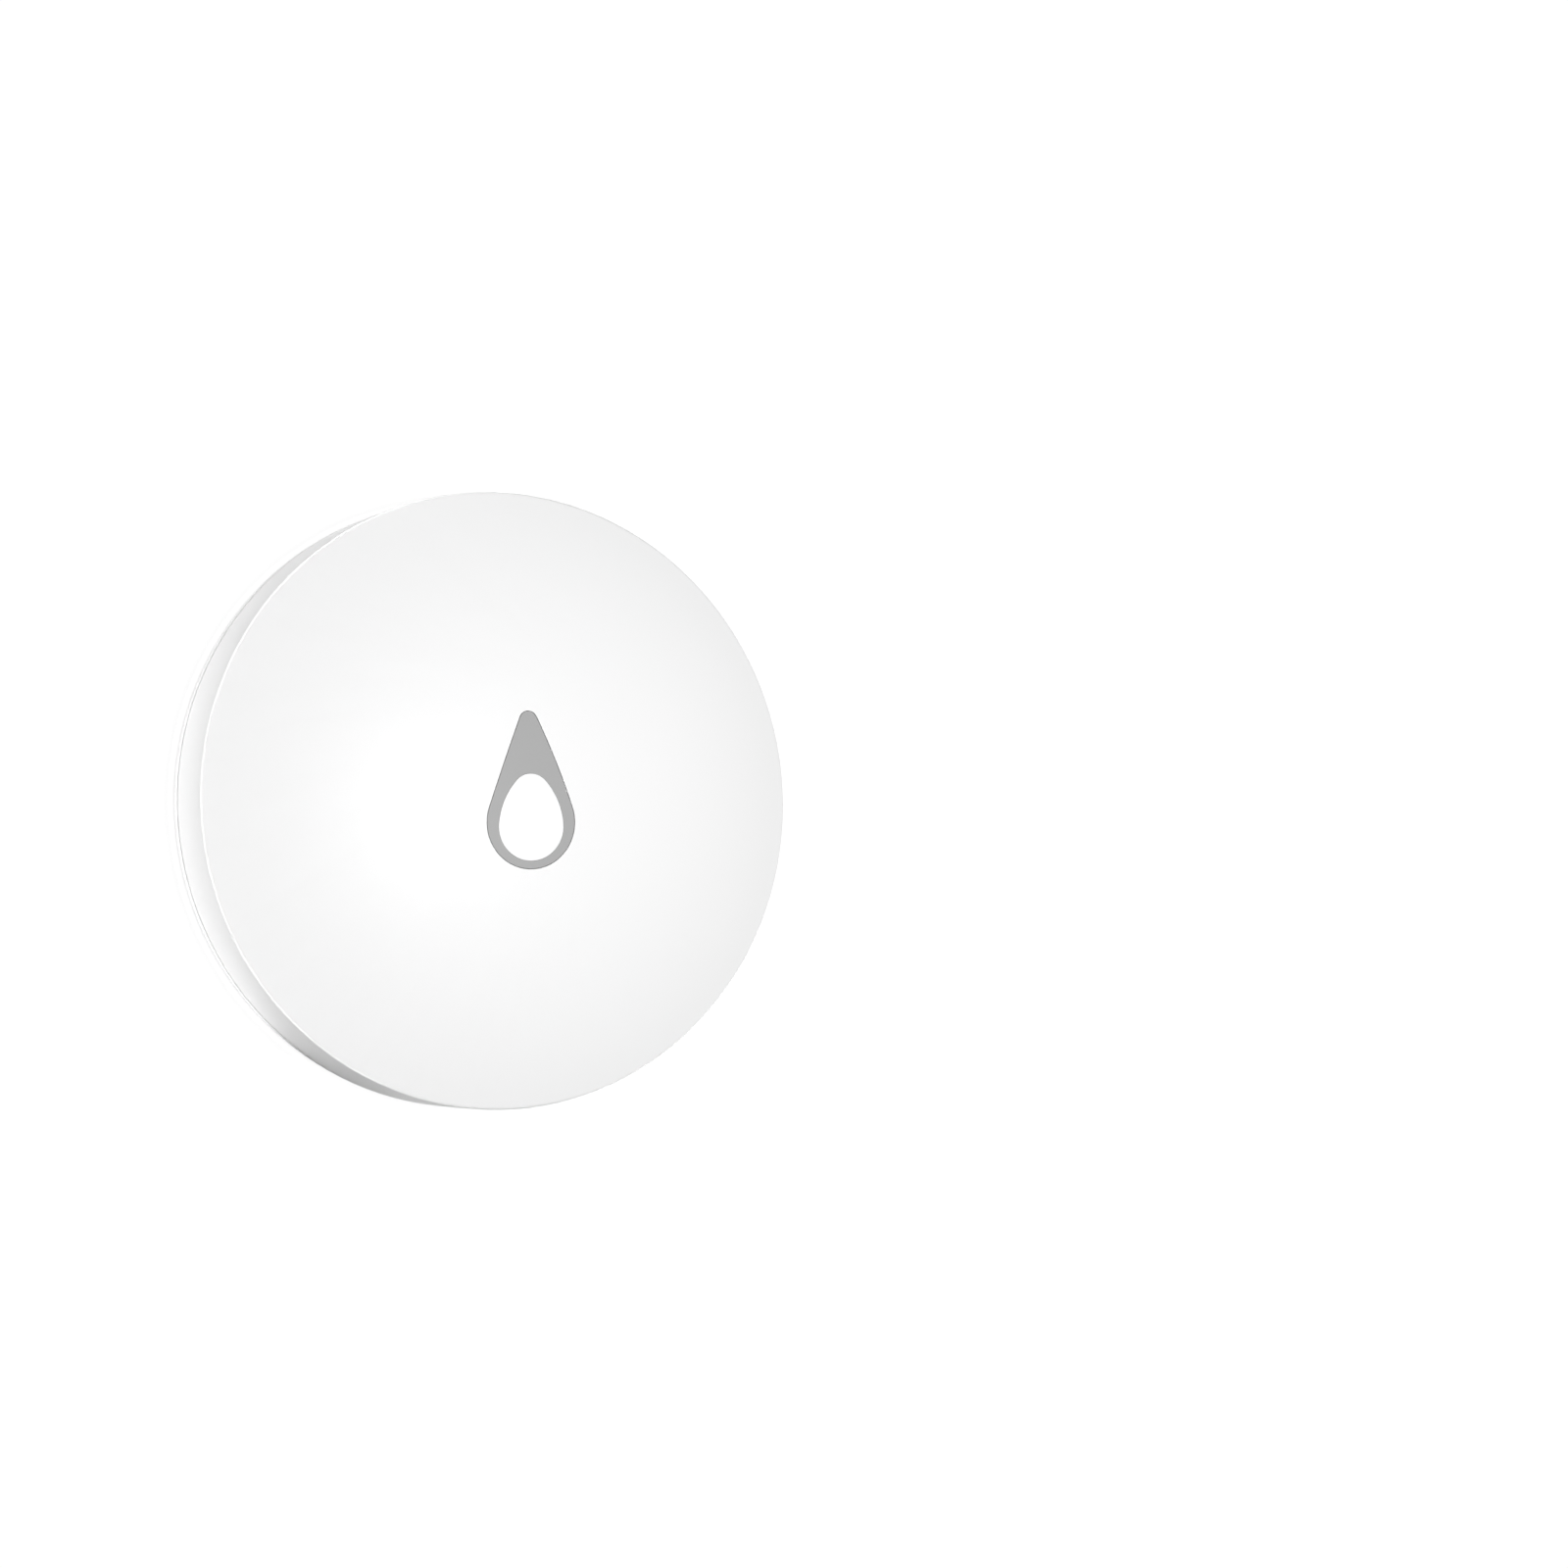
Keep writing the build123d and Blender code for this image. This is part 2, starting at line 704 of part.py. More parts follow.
with BuildPart() as board_screws:
    with BuildSketch(Plane.XY.offset(board_top_z)):
        for turn in board_screw_turns:
            with PolarLocations(probe_circle, 1, start_angle=turn):
                Circle(board_screw_radius)
    extrude(amount=-board_screw_length)
    with BuildSketch(Plane.XY.offset(board_top_z)):
        for turn in board_screw_turns:
            with PolarLocations(probe_circle, 1, start_angle=turn):
                Circle(board_head_radius)
    extrude(amount=board_head_height)
    with BuildSketch(Plane.XY.offset(board_top_z + board_head_height)):
        for turn in board_screw_turns:
            with PolarLocations(probe_circle, 1, start_angle=turn):
                Rectangle(2 * board_recess_radius, board_recess_radius)
                Rectangle(board_recess_radius, 2 * board_recess_radius)
    extrude(amount=-board_recess_depth, mode=Mode.SUBTRACT)
save(board_screws.part, "board_screws")

# Water probes: steel pins whose broad heads face the floor, each with a seal and a nut
probe_head_z = base_z - probe_proud
for turn, side in zip(probe_turns, probe_names):
    with BuildPart() as probe:
        with BuildSketch(Plane.XY.offset(probe_head_z)):
            with PolarLocations(probe_circle, 1, start_angle=turn):
                Circle(probe_head_radius)
        extrude(amount=probe_head_height)
        chamfer(probe.edges().group_by(Axis.Z)[0], probe_head_edge)
        with BuildSketch(Plane.XY.offset(probe_head_z)):
            with PolarLocations(probe_circle, 1, start_angle=turn):
                Circle(probe_shank_radius)
        extrude(amount=board_top_z + nut_height + probe_shank_end - probe_head_z)
        chamfer(probe.edges().group_by(Axis.Z)[-1], probe_shank_end / 2)
    save(probe.part, "probe_" + side)
    with BuildPart() as probe_seal:
        with BuildSketch(Plane.XY.offset(probe_seat_z)):
            with PolarLocations(probe_circle, 1, start_angle=turn):
                Circle(probe_shank_radius + clamp_gap + probe_seal_wall)
                Circle(probe_shank_radius + clamp_gap, mode=Mode.SUBTRACT)
        extrude(amount=-probe_seal_height)
        fillet(probe_seal.edges().filter_by(GeomType.CIRCLE), probe_seal_round)
    save(probe_seal.part, "probe_seal_" + side)

with BuildPart() as probe_nuts:
    with BuildSketch(Plane.XY.offset(board_top_z)):
        for turn in probe_turns:
            with PolarLocations(probe_circle, 1, start_angle=turn):
                RegularPolygon(nut_flats / 2, 6, major_radius=False)
                Circle(probe_shank_radius + clamp_gap, mode=Mode.SUBTRACT)
    extrude(amount=nut_height)
save(probe_nuts.part, "probe_nuts")

# Tact switch: moulded body with four terminals, and the plunger under the button's post
with BuildPart() as switch_body:
    with BuildSketch(Plane.XY.offset(board_top_z)):
        with Locations((0, button_post_y)):
            Rectangle(switch_side, switch_side)
    extrude(amount=switch_height)
    chamfer(switch_body.edges().filter_by(Axis.Z), switch_rim)
    with BuildSketch(Plane.XY.offset(board_top_z)):
        with Locations((0, button_post_y)):
            with GridLocations(switch_side + terminal_reach, terminal_spread, 2, 2):
                Rectangle(2 * terminal_reach, terminal_width)
    extrude(amount=terminal_sheet)
    with BuildSketch(Plane.XY.offset(switch_top_z)):
        with Locations((0, button_post_y)):
            Circle(plunger_radius + slide_gap)
    extrude(amount=-plunger_hidden - button_stroke - clamp_gap, mode=Mode.SUBTRACT)
save(switch_body.part, "switch_body")

with BuildPart() as switch_plunger:
    with BuildSketch(Plane.XY.offset(plunger_top_z)):
        with Locations((0, button_post_y)):
            Circle(plunger_radius)
    extrude(amount=-plunger_proud - plunger_hidden)
save(switch_plunger.part, "switch_plunger")

# Indicator light under the light guide
with BuildPart() as indicator_led:
    with BuildSketch(Plane.XY.offset(board_top_z)):
        with Locations((0, guide_y)):
            Rectangle(led_length, led_width)
    extrude(amount=led_body)
    with BuildSketch(Plane.XY.offset(board_top_z + led_body)):
        with Locations((0, guide_y)):
            Rectangle(led_length - 2 * led_lens_inset, led_width - led_lens_inset)
    extrude(amount=led_lens)
save(indicator_led.part, "indicator_led")

# Battery contacts: a leaf on the cap, and a slanted finger on the can's side
with BuildPart() as negative_contact:
    with BuildSketch(Plane.XZ.offset(-negative_width / 2)):
        with BuildLine():
            leaf = Polyline(
                (-negative_base, board_z - strip / 2),
                (0, board_z - strip / 2),
                (negative_arm, cell_top_z + clamp_gap + strip / 2),
                (negative_arm + negative_tail, cell_top_z + clamp_gap + strip),
            )
            offset(leaf, strip / 2, kind=Kind.INTERSECTION)
        make_face()
    extrude(amount=negative_width)
save(negative_contact.part, "negative_contact")

finger_x = cell_radius + positive_leg_room
touch_z = (neck_top_z + can_top_z) / 2
with BuildPart() as positive_contact:
    with BuildSketch(Plane.XZ.offset(-positive_width / 2)):
        with BuildLine():
            finger = Polyline(
                (finger_x + positive_pad, board_z - strip / 2),
                (finger_x, board_z - strip / 2),
                (finger_x, board_z - bay_room),
                (cell_radius + clamp_gap + strip / 2, touch_z),
            )
            offset(finger, strip / 2, kind=Kind.INTERSECTION)
        make_face()
    extrude(amount=positive_width)
save(positive_contact.part.rotate(Axis.Z, positive_turn), "positive_contact")

# Radio chip with its rows of pads, and its crystal
with BuildPart() as radio_chip:
    with BuildSketch(Plane.XY.offset(board_top_z + chip_pad_height)):
        with Locations(chip_place):
            Rectangle(chip_side, chip_side)
    extrude(amount=chip_height)
    with BuildSketch(Plane.XY.offset(board_top_z)):
        with Locations(chip_place):
            Rectangle(chip_side - 2 * chip_pad_length, chip_side - 2 * chip_pad_length)
            with GridLocations(chip_side - chip_pad_length, chip_pad_pitch, 2, chip_pads_per_side):
                Rectangle(chip_pad_length, chip_pad_width)
            with GridLocations(chip_pad_pitch, chip_side - chip_pad_length, chip_pads_per_side, 2):
                Rectangle(chip_pad_width, chip_pad_length)
    extrude(amount=chip_pad_height)
save(radio_chip.part, "radio_chip")

with BuildPart() as radio_crystal:
    with BuildSketch(Plane.XY.offset(board_top_z)):
        with Locations(crystal_place):
            Rectangle(crystal_length, crystal_width)
    extrude(amount=crystal_height)
    chamfer(radio_crystal.edges().filter_by(Axis.Z), crystal_edge)
save(radio_crystal.part, "radio_crystal")


def chip_group(places, length, width, chip_rise):
    """Small surface-mounted parts that share one size."""
    with BuildPart() as group:
        with BuildSketch(Plane.XY.offset(board_top_z)):
            with Locations(*places):
                Rectangle(length, width)
        extrude(amount=chip_rise)
    return group.part


capacitors = chip_group(capacitor_places, capacitor_length, capacitor_width, capacitor_height)
save(capacitors, "capacitors")
resistors = chip_group(resistor_places, resistor_length, resistor_width, resistor_height)
save(resistors, "resistors")

# Antenna: a folded copper line along the board's edge
with BuildPart() as antenna:
    with BuildSketch(Plane.XY.offset(board_top_z)):
        with Locations(antenna_place):
            with GridLocations(antenna_pitch, 0, antenna_legs, 1):
                Rectangle(antenna_line, antenna_height)
            for side in (1, -1):
                with Locations((-side * antenna_pitch / 2, side * (antenna_height - antenna_line) / 2)):
                    with GridLocations(2 * antenna_pitch, 0, antenna_legs // 2, 1):
                        Rectangle(antenna_pitch + antenna_line, antenna_line)
    extrude(amount=antenna_sheet)
save(antenna.part, "antenna")
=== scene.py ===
from math import cos, pi, radians, sin

import bmesh
import bpy
from bpy.props import FloatProperty, FloatVectorProperty, IntProperty, PointerProperty
from mathutils import Matrix, Vector


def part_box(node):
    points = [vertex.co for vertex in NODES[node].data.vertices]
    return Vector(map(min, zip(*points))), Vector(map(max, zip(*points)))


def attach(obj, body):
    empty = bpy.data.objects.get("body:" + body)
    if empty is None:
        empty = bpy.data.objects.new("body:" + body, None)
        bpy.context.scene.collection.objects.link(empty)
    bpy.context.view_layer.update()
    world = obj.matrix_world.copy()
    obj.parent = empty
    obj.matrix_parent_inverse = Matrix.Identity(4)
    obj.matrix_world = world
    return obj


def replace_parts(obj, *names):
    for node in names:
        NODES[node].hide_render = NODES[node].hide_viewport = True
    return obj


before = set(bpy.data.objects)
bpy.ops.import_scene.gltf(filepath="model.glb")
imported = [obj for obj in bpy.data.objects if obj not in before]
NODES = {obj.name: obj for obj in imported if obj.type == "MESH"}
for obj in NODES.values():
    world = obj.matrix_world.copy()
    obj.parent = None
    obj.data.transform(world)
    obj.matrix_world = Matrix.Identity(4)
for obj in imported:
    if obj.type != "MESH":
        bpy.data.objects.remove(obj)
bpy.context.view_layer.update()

bl_info = {
    "name": "Water Leak Sensor",
    "version": (1, 0, 0),
    "blender": (4, 5, 0),
    "location": "3D View > Sidebar > Leak Sensor",
    "description": "Finishes a low round water leak sensor and sets it on a pale studio floor",
    "category": "Object",
}

MM = 0.001
WHITE = (1.0, 1.0, 1.0, 1.0)
MERGE = 0.0001 * MM
HALF = 0.5

# Lowest and highest roughness of each kind of surface
POLISHED = (0.03, 0.09)
TURNED = (0.2, 0.38)
STAMPED = (0.22, 0.4)
LACQUERED = (0.22, 0.34)
PLATED = (0.25, 0.38)
GLAZED = (0.25, 0.35)
TINNED = (0.28, 0.45)
SMOOTH = (0.34, 0.42)
FIRM = (0.4, 0.5)
SATIN = (0.5, 0.6)
CAST = (0.45, 0.6)
RUBBERY = (0.55, 0.75)

# Room between the case's lowest and highest roughness
GLOSS_SPAN = 0.1

# Other values of a surface: weak shine, lacquer, clear acrylic, milky plastic and silicone
DULL = {"Specular IOR Level": 0.25}
LACQUER = {"Coat Weight": 0.3, "Coat Roughness": 0.15}
CLEAR = {"Transmission Weight": 1.0, "IOR": 1.49}
MILKY = {"Subsurface Weight": 0.15, "Subsurface Radius": (MM, MM, MM), "Subsurface Scale": 0.4}
SOFT = {"Subsurface Weight": 0.4, "Subsurface Radius": (MM, MM, MM), "Subsurface Scale": 0.5}

# How far the tone of each material drifts, as a share of its colour
DRIFTS = {
    "case": 0.015,
    "cover": 0.03,
    "retainer": 0.05,
    "key": 0.02,
    "window": 0.008,
    "board": 0.02,
    "resin": 0.1,
    "ceramic": 0.15,
    "cell ring": 0.2,
    "rubber": 0.35,
    "silicone": 0.06,
}

# Squeeze of a metal's faint lines along the axes: they run along the axis with the low number
LINES = {
    "nut": (1.0, 1.0, 0.2),
    "screw": (1.0, 1.0, 0.3),
    "contact": (0.08, 1.0, 1.0),
    "finger": (1.0, 1.0, 0.08),
    "gold": (1.0, 0.3, 1.0),
    "lid": (0.2, 1.0, 1.0),
    "tin": (1.0, 1.0, 1.0),
}

# Noise of the surfaces, counted to a metre
DRIFT_NOISE = 55.0
MARK_NOISE = 900.0
LINE_NOISE = 9000.0
RUB_NOISE = 350.0

# Stretch of a noise's values that is spread over a whole range of roughness or tone
GLOSS_STRETCH = (0.35, 0.65)
MARK_STRETCH = (0.3, 0.7)
RUB_STRETCH = (0.1, 0.4)

# Darkest tone of turned and of stamped metal, and the share of the rings beside the marks
TURNED_TONE = 0.93
STAMPED_TONE = 0.9
RING_SHARE = 0.6

# Height of the grain on the window and on clear acrylic, as shares of the case's
WINDOW_GRAIN_SHARE = 0.3
CLEAR_GRAIN_SHARE = 0.15

# Patterns on the circuit board, counted to a metre, shares of their cells, and a factor that
# draws a second number from a patch
GRAIN_ON_BOARD = 2500.0
PATCHES = 160.0
VIA_CELLS = 330.0
VIA_SHARE = 0.09
TRACK_SHARE = 0.2
BARE_SHARE = 0.35
PATCH_MIX = 7.0

# Steps around a ring of open copper, and points around its section
PAD_STEPS = 48
PAD_SECTION = 8
PAD_SQUARENESS = 0.4
SEAL_SQUARENESS = 0.3

# Steps around and up a solder dome, and along a block's rounded edge
DOME_STEPS = 12
DOME_RINGS = 8
EDGE_STEPS = 2

# Angle in degrees from which an edge is shaded sharp
SHARP_EDGE = 40

# Shares of a part's depth: its solder's half width, and the switch's legs
SOLDER_SHARE = 0.42
LEG_SHARES = (0.21, 0.79)

# Width, depth and height of the switch's solder, as shares of the small parts' solder
LEG_SOLDER_SHARES = (1.5, 1.6, 1.4)

# Rounding of a tinned end, as a share of how far it stands over its part
END_ROUND_SHARE = 1.5

# Share of the dimple that has its full tint, and how much paler it is than the resin
DIMPLE_FULL_SHARE = 0.8
DIMPLE_PALER = 0.05

# Suns: setting with the level, degrees from straight up, degrees about the vertical, spread in degrees
SUNS = (
    ("overhead", 0, 0, 15),
    ("underside", 180, 0, 30),
    ("low_front", 130, -30, 20),
)
# Suns seen only as the bright line along the rim: degrees from straight up and about the vertical
GLINTS = ((111, 96), (106, 122), (102, 150), (100, 178), (101, 206), (103, 234), (108, 260))
GLINT_SPREAD = 26
# Share of the floor's glow by degrees about the vertical, around the left side
GLOW_SHARES = ((84, 1.0), (106, 0.55), (124, 0.56), (146, 0.78), (164, 1.0), (224, 1.0), (233, 0.0))
GLOW_STEPS = 80


# Settings that a user would change

def colour(label, words, default):
    return FloatVectorProperty(
        name=label, description=words, default=default, subtype="COLOR", min=0, max=1
    )


def length(label, words, default):
    return FloatProperty(name=label, description=words, default=default * MM, unit="LENGTH", precision=5)


def share(label, words, default):
    return FloatProperty(name=label, description=words, default=default, subtype="FACTOR", min=0, max=1)


def level(label, words, default):
    return FloatProperty(name=label, description=words, default=default, min=0)


def place(label, words, default):
    start = [value * MM for value in default]
    return FloatVectorProperty(
        name=label, description=words, default=start, subtype="TRANSLATION", unit="LENGTH"
    )


class PlasticSettings(bpy.types.PropertyGroup):
    case_colour: colour("Case", "White of the shell, base and battery cover", (0.93, 0.93, 0.93))
    key_colour: colour("Key", "Grey of the drop-shaped button", (0.395, 0.395, 0.395))
    window_colour: colour("Window", "Milky white of the button's window", (0.955, 0.955, 0.96))
    inner_colour: colour("Retainer", "Unpainted plastic of the retainer plate", (0.78, 0.78, 0.76))
    resin_colour: colour("Resin", "Black resin of the chips and the switch", (0.025, 0.025, 0.027))
    clear_colour: colour("Acrylic", "Clear acrylic of the light guide", (0.96, 0.98, 0.98))
    ring_colour: colour("Cell ring", "Black plastic between the cell's can and cap", (0.05, 0.05, 0.05))
    plunger_colour: colour("Plunger", "Dark resin of the switch's plunger", (0.05, 0.05, 0.052))
    glaze_colour: colour("Glaze", "Black glaze of the resistors", (0.02, 0.02, 0.022))
    case_gloss: share("Case roughness", "Lowest roughness of the case", 0.42)
    grain_size: length("Grain", "Size of the moulded grain", 0.3)
    grain_height: length("Grain height", "Height of the moulded grain", 0.003)


class RubberSettings(bpy.types.PropertyGroup):
    black: colour("Rubber", "Black rubber of the seals", (0.022, 0.022, 0.023))
    silicone: colour("Silicone", "Clear grey silicone of the button seal", (0.72, 0.74, 0.74))
    cover_ring_width: length("Cover ring", "Width of the battery cover's seal", 0.8)
    shell_ring_width: length("Shell ring", "Width of the seal between shell and base", 0.95)
    washer_width: length("Probe washer", "Width of the seal around a probe", 1.1)
    grain_size: length("Grain", "Size of the rubber's grain", 0.22)
    grain_height: length("Grain height", "Height of the rubber's grain", 0.006)
    ring_steps: IntProperty(name="Steps", description="Steps around a seal", default=128, min=16)
    section_points: IntProperty(name="Section", description="Points around the section", default=20, min=8)


class MetalSettings(bpy.types.PropertyGroup):
    steel: colour("Stainless steel", "Turned steel of the probes", (0.62, 0.62, 0.63))
    nickel: colour("Nickel", "Plating of the cell and the contacts", (0.68, 0.67, 0.64))
    zinc: colour("Zinc", "Plating of the screws", (0.6, 0.61, 0.64))
    brass: colour("Brass", "Turned brass of the probe nuts", (0.72, 0.53, 0.24))
    tin: colour("Tin", "Solder and tinned ends", (0.7, 0.7, 0.71))
    ring_pitch: length("Ring pitch", "Distance between turning rings", 0.12)
    ring_height: length("Ring height", "Height of the turning rings", 0.0012)


class BoardSettings(bpy.types.PropertyGroup):
    mask: colour("Solder mask", "Green lacquer over the laminate", (0.015, 0.12, 0.045))
    track: colour("Track", "Copper seen through the lacquer", (0.035, 0.24, 0.09))
    copper: colour("Gold", "Plated copper left open", (0.78, 0.56, 0.27))
    ceramic: colour("Ceramic", "Brown ceramic of the capacitors", (0.33, 0.22, 0.13))
    reflector: colour("Reflector", "White body of the indicator light", (0.9, 0.9, 0.88))
    phosphor: colour("Phosphor", "Yellow lens of the indicator light", (0.85, 0.68, 0.16))
    mask_grain: length("Mask grain", "Height of the lacquer's grain", 0.004)
    track_pitch: length("Track pitch", "Distance between tracks", 0.6)
    track_height: length("Track height", "Height of the tracks under the lacquer", 0.012)
    chip_lift: length("Chip lift", "Height of the chip's metal feet", 0.15)
    dimple: length("Dimple", "Radius of the dimple that marks the chip's first corner", 0.35)
    dimple_place: share("Dimple place", "Distance of the dimple from the corner, by the chip's side", 0.12)
    terminal_length: length("Terminal", "Length of a tinned end on a small part", 0.3)
    terminal_cover: length("Tin", "How far a tinned end stands over its part", 0.02)
    pad_reach: length("Pad", "Width of the open ring around a screw or nut", 0.4)
    pad_gap: length("Pad gap", "Room between the open ring and the screw or nut", 0.05)
    pad_height: length("Pad height", "Height of the open copper", 0.035)
    solder_height: length("Solder", "Height of a solder joint", 0.22)


class StageSettings(bpy.types.PropertyGroup):
    camera_place: place("Camera", "Where the camera stands", (-102.856, -13.4, 289.889))
    camera_target: place("Target", "What the camera looks at", (25.064, 1.286, 8.2))
    camera_roll: FloatProperty(
        name="Roll",
        description="Turn of the picture about its middle",
        default=radians(-1.199),
        subtype="ANGLE",
    )
    lens: level("Lens", "Focal length in millimetres", 85.0)
    sensor: level("Sensor", "Width of the sensor in millimetres", 36.0)
    floor_size: length("Floor", "Half the side of the floor", 2000.0)
    floor_drop: length("Floor gap", "How far the floor lies under the feet", 0.02)
    floor_glow: share("Floor glow", "White that the floor adds by itself to the camera", 0.72)
    floor_white: share("Floor white", "Colour of the floor under the lamps", 0.3)
    floor_bounce: share("Floor bounce", "Colour of the floor for light that it throws back", 0.12)
    ambient: share("Ambient", "Level of the light from all round", 0.03)
    overhead: level("Overhead", "Level of the light from above", 1.02)
    underside: level("Underside", "Level of the light from straight below", 0.35)
    low_front: level("Low front", "Level of the light from below, in front and on the right", 0.7)
    rim_glint: level("Rim glint", "Level of the lamps that draw the bright line along the rim", 1.6)
    glow: level("Glow", "Level of the bright floor around the left side", 2.08)
    glow_start: length("Glow start", "Distance from the middle at which the bright floor starts", 25.3)
    glow_end: length("Glow end", "Distance from the middle at which the bright floor ends", 60.0)
    glow_lift: length("Glow lift", "Height of the bright floor over the feet's level", 0.1)


SETTINGS = {
    "leak_sensor_plastic": PlasticSettings,
    "leak_sensor_rubber": RubberSettings,
    "leak_sensor_metal": MetalSettings,
    "leak_sensor_board": BoardSettings,
    "leak_sensor_stage": StageSettings,
}


# Helpers for node trees

def new_node(tree, kind, inputs=None, **values):
    """Adds a shader node, sets its properties, and links or sets its inputs."""
    node = tree.nodes.new(kind)
    for name, value in values.items():
        setattr(node, name, value)
    for name, value in (inputs or {}).items():
        if isinstance(value, bpy.types.NodeSocket):
            tree.links.new(value, node.inputs[name])
        else:
            node.inputs[name].default_value = value
    return node


def maths(tree, operation, first, second=0.0, third=0.0):
    """Result of a Math node whose inputs are sockets or numbers."""
    return new_node(tree, "ShaderNodeMath", {0: first, 1: second, 2: third}, operation=operation).outputs[0]


def remap(tree, value, low, high, new_low, new_high):
    """Value brought from one range to another, and kept inside it."""
    inputs = {"Value": value, "From Min": low, "From Max": high, "To Min": new_low, "To Max": new_high}
    return new_node(tree, "ShaderNodeMapRange", inputs).outputs[0]


def blend_colour(tree, mask, first, second):
    """Colour that goes from first to second as the mask goes from 0 to 1."""
    node = tree.nodes.new("ShaderNodeMix")
    node.data_type = "RGBA"
    for index, value in ((0, mask), (6, first), (7, second)):
        if isinstance(value, bpy.types.NodeSocket):
            tree.links.new(value, node.inputs[index])
        else:
            node.inputs[index].default_value = value
    return node.outputs[2]


def object_place(tree, move=(0, 0, 0)):
    """Object coordinates, moved so that the given point is the middle."""
    source = new_node(tree, "ShaderNodeTexCoord").outputs["Object"]
    return new_node(tree, "ShaderNodeVectorMath", {0: source, 1: move}, operation="SUBTRACT").outputs[0]


def noise(tree, where, scale, detail=2.0, rough=0.5):
    inputs = {"Vector": where, "Scale": scale, "Detail": detail, "Roughness": rough}
    return new_node(tree, "ShaderNodeTexNoise", inputs).outputs["Fac"]


def scaled_colour(tree, tint, tone):
    node = new_node(tree, "ShaderNodeVectorMath", {0: tint}, operation="SCALE")
    tree.links.new(tone, node.inputs["Scale"])
    return node.outputs[0]


def spread_gloss(group, given, value):
    """Roughness between the group's lowest and highest, from a noise's value."""
    return remap(group, value, *GLOSS_STRETCH, given["Low Roughness"], given["High Roughness"])


def start_group(name, inputs):
    """Shader node group with a colour, a roughness and a height, and its named inputs."""
    group = bpy.data.node_groups.new(name, "ShaderNodeTree")
    for label, kind, default in inputs:
        socket = group.interface.new_socket(name=label, in_out="INPUT", socket_type=kind)
        socket.default_value = default
    results = {"Color": "NodeSocketColor", "Roughness": "NodeSocketFloat", "Height": "NodeSocketFloat"}
    for label, kind in results.items():
        group.interface.new_socket(name=label, in_out="OUTPUT", socket_type=kind)
    return group, group.nodes.new("NodeGroupInput").outputs, group.nodes.new("NodeGroupOutput").inputs


def end_group(group, result, tint, roughness, height):
    for label, value in (("Color", tint), ("Roughness", roughness), ("Height", height)):
        group.links.new(value, result[label])
    return group


def moulded_group():
    """Moulded or cured surface: a fine grain, and a slow drift of tone and gloss."""
    group, given, result = start_group(
        "moulded surface",
        [
            ("Color", "NodeSocketColor", WHITE),
            ("Grain Scale", "NodeSocketFloat", 3000.0),
            ("Drift", "NodeSocketFloat", 0.02),
            ("Low Roughness", "NodeSocketFloat", 0.45),
            ("High Roughness", "NodeSocketFloat", 0.55),
        ],
    )
    where = object_place(group)
    slow = noise(group, where, DRIFT_NOISE, 3.0)
    grain = noise(group, where, given["Grain Scale"], 3.0, 0.6)
    tone = maths(group, "SUBTRACT", 1.0, maths(group, "MULTIPLY", slow, given["Drift"]))
    mixed = maths(group, "MULTIPLY_ADD", grain, HALF, maths(group, "MULTIPLY", slow, HALF))
    roughness = spread_gloss(group, given, mixed)
    return end_group(group, result, scaled_colour(group, given["Color"], tone), roughness, grain)


def turned_group():
    """Turned or drawn metal: fine rings about a vertical axis, and faint marks across them."""
    group, given, result = start_group(
        "turned metal",
        [
            ("Color", "NodeSocketColor", WHITE),
            ("Centre", "NodeSocketVector", (0.0, 0.0, 0.0)),
            ("Ring Scale", "NodeSocketFloat", 8000.0),
            ("Low Roughness", "NodeSocketFloat", 0.2),
            ("High Roughness", "NodeSocketFloat", 0.4),
        ],
    )
    where = object_place(group, given["Centre"])
    flat = new_node(group, "ShaderNodeVectorMath", {0: where, 1: (1, 1, 0)}, operation="MULTIPLY").outputs[0]
    radius = new_node(group, "ShaderNodeVectorMath", {0: flat}, operation="LENGTH").outputs["Value"]
    turns = maths(group, "MULTIPLY", radius, given["Ring Scale"])
    fine = new_node(
        group, "ShaderNodeTexNoise", {"W": turns, "Scale": 1.0, "Detail": 2.0}, noise_dimensions="1D"
    ).outputs["Fac"]
    marks = noise(group, where, MARK_NOISE, 4.0, 0.7)
    tone = remap(group, marks, *MARK_STRETCH, TURNED_TONE, 1.0)
    crossed = maths(group, "MULTIPLY", marks, 1 - RING_SHARE)
    mixed = maths(group, "MULTIPLY_ADD", fine, RING_SHARE, crossed)
    roughness = spread_gloss(group, given, mixed)
    return end_group(group, result, scaled_colour(group, given["Color"], tone), roughness, fine)


def stamped_group():
    """Rolled and stamped strip: long faint lines along one direction, and a few rubbed places."""
    group, given, result = start_group(
        "stamped metal",
        [
            ("Color", "NodeSocketColor", WHITE),
            ("Stretch", "NodeSocketVector", (0.05, 1.0, 1.0)),
            ("Low Roughness", "NodeSocketFloat", 0.22),
            ("High Roughness", "NodeSocketFloat", 0.42),
        ],
    )
    where = object_place(group)
    stretched = {0: where, 1: given["Stretch"]}
    along = new_node(group, "ShaderNodeVectorMath", stretched, operation="MULTIPLY").outputs[0]
    lines = noise(group, along, LINE_NOISE, 2.0)
    rubbed = noise(group, where, RUB_NOISE, 3.0)
    worn = maths(group, "MULTIPLY", lines, rubbed)
    tone = remap(group, worn, *RUB_STRETCH, STAMPED_TONE, 1.0)
    mixed = maths(group, "MULTIPLY_ADD", lines, HALF, maths(group, "MULTIPLY", rubbed, HALF))
    roughness = spread_gloss(group, given, mixed)
    return end_group(group, result, scaled_colour(group, given["Color"], tone), roughness, lines)


MAKERS = {"moulded surface": moulded_group, "turned metal": turned_group, "stamped metal": stamped_group}


def group_named(name):
    return bpy.data.node_groups.get(name) or MAKERS[name]()


# Materials

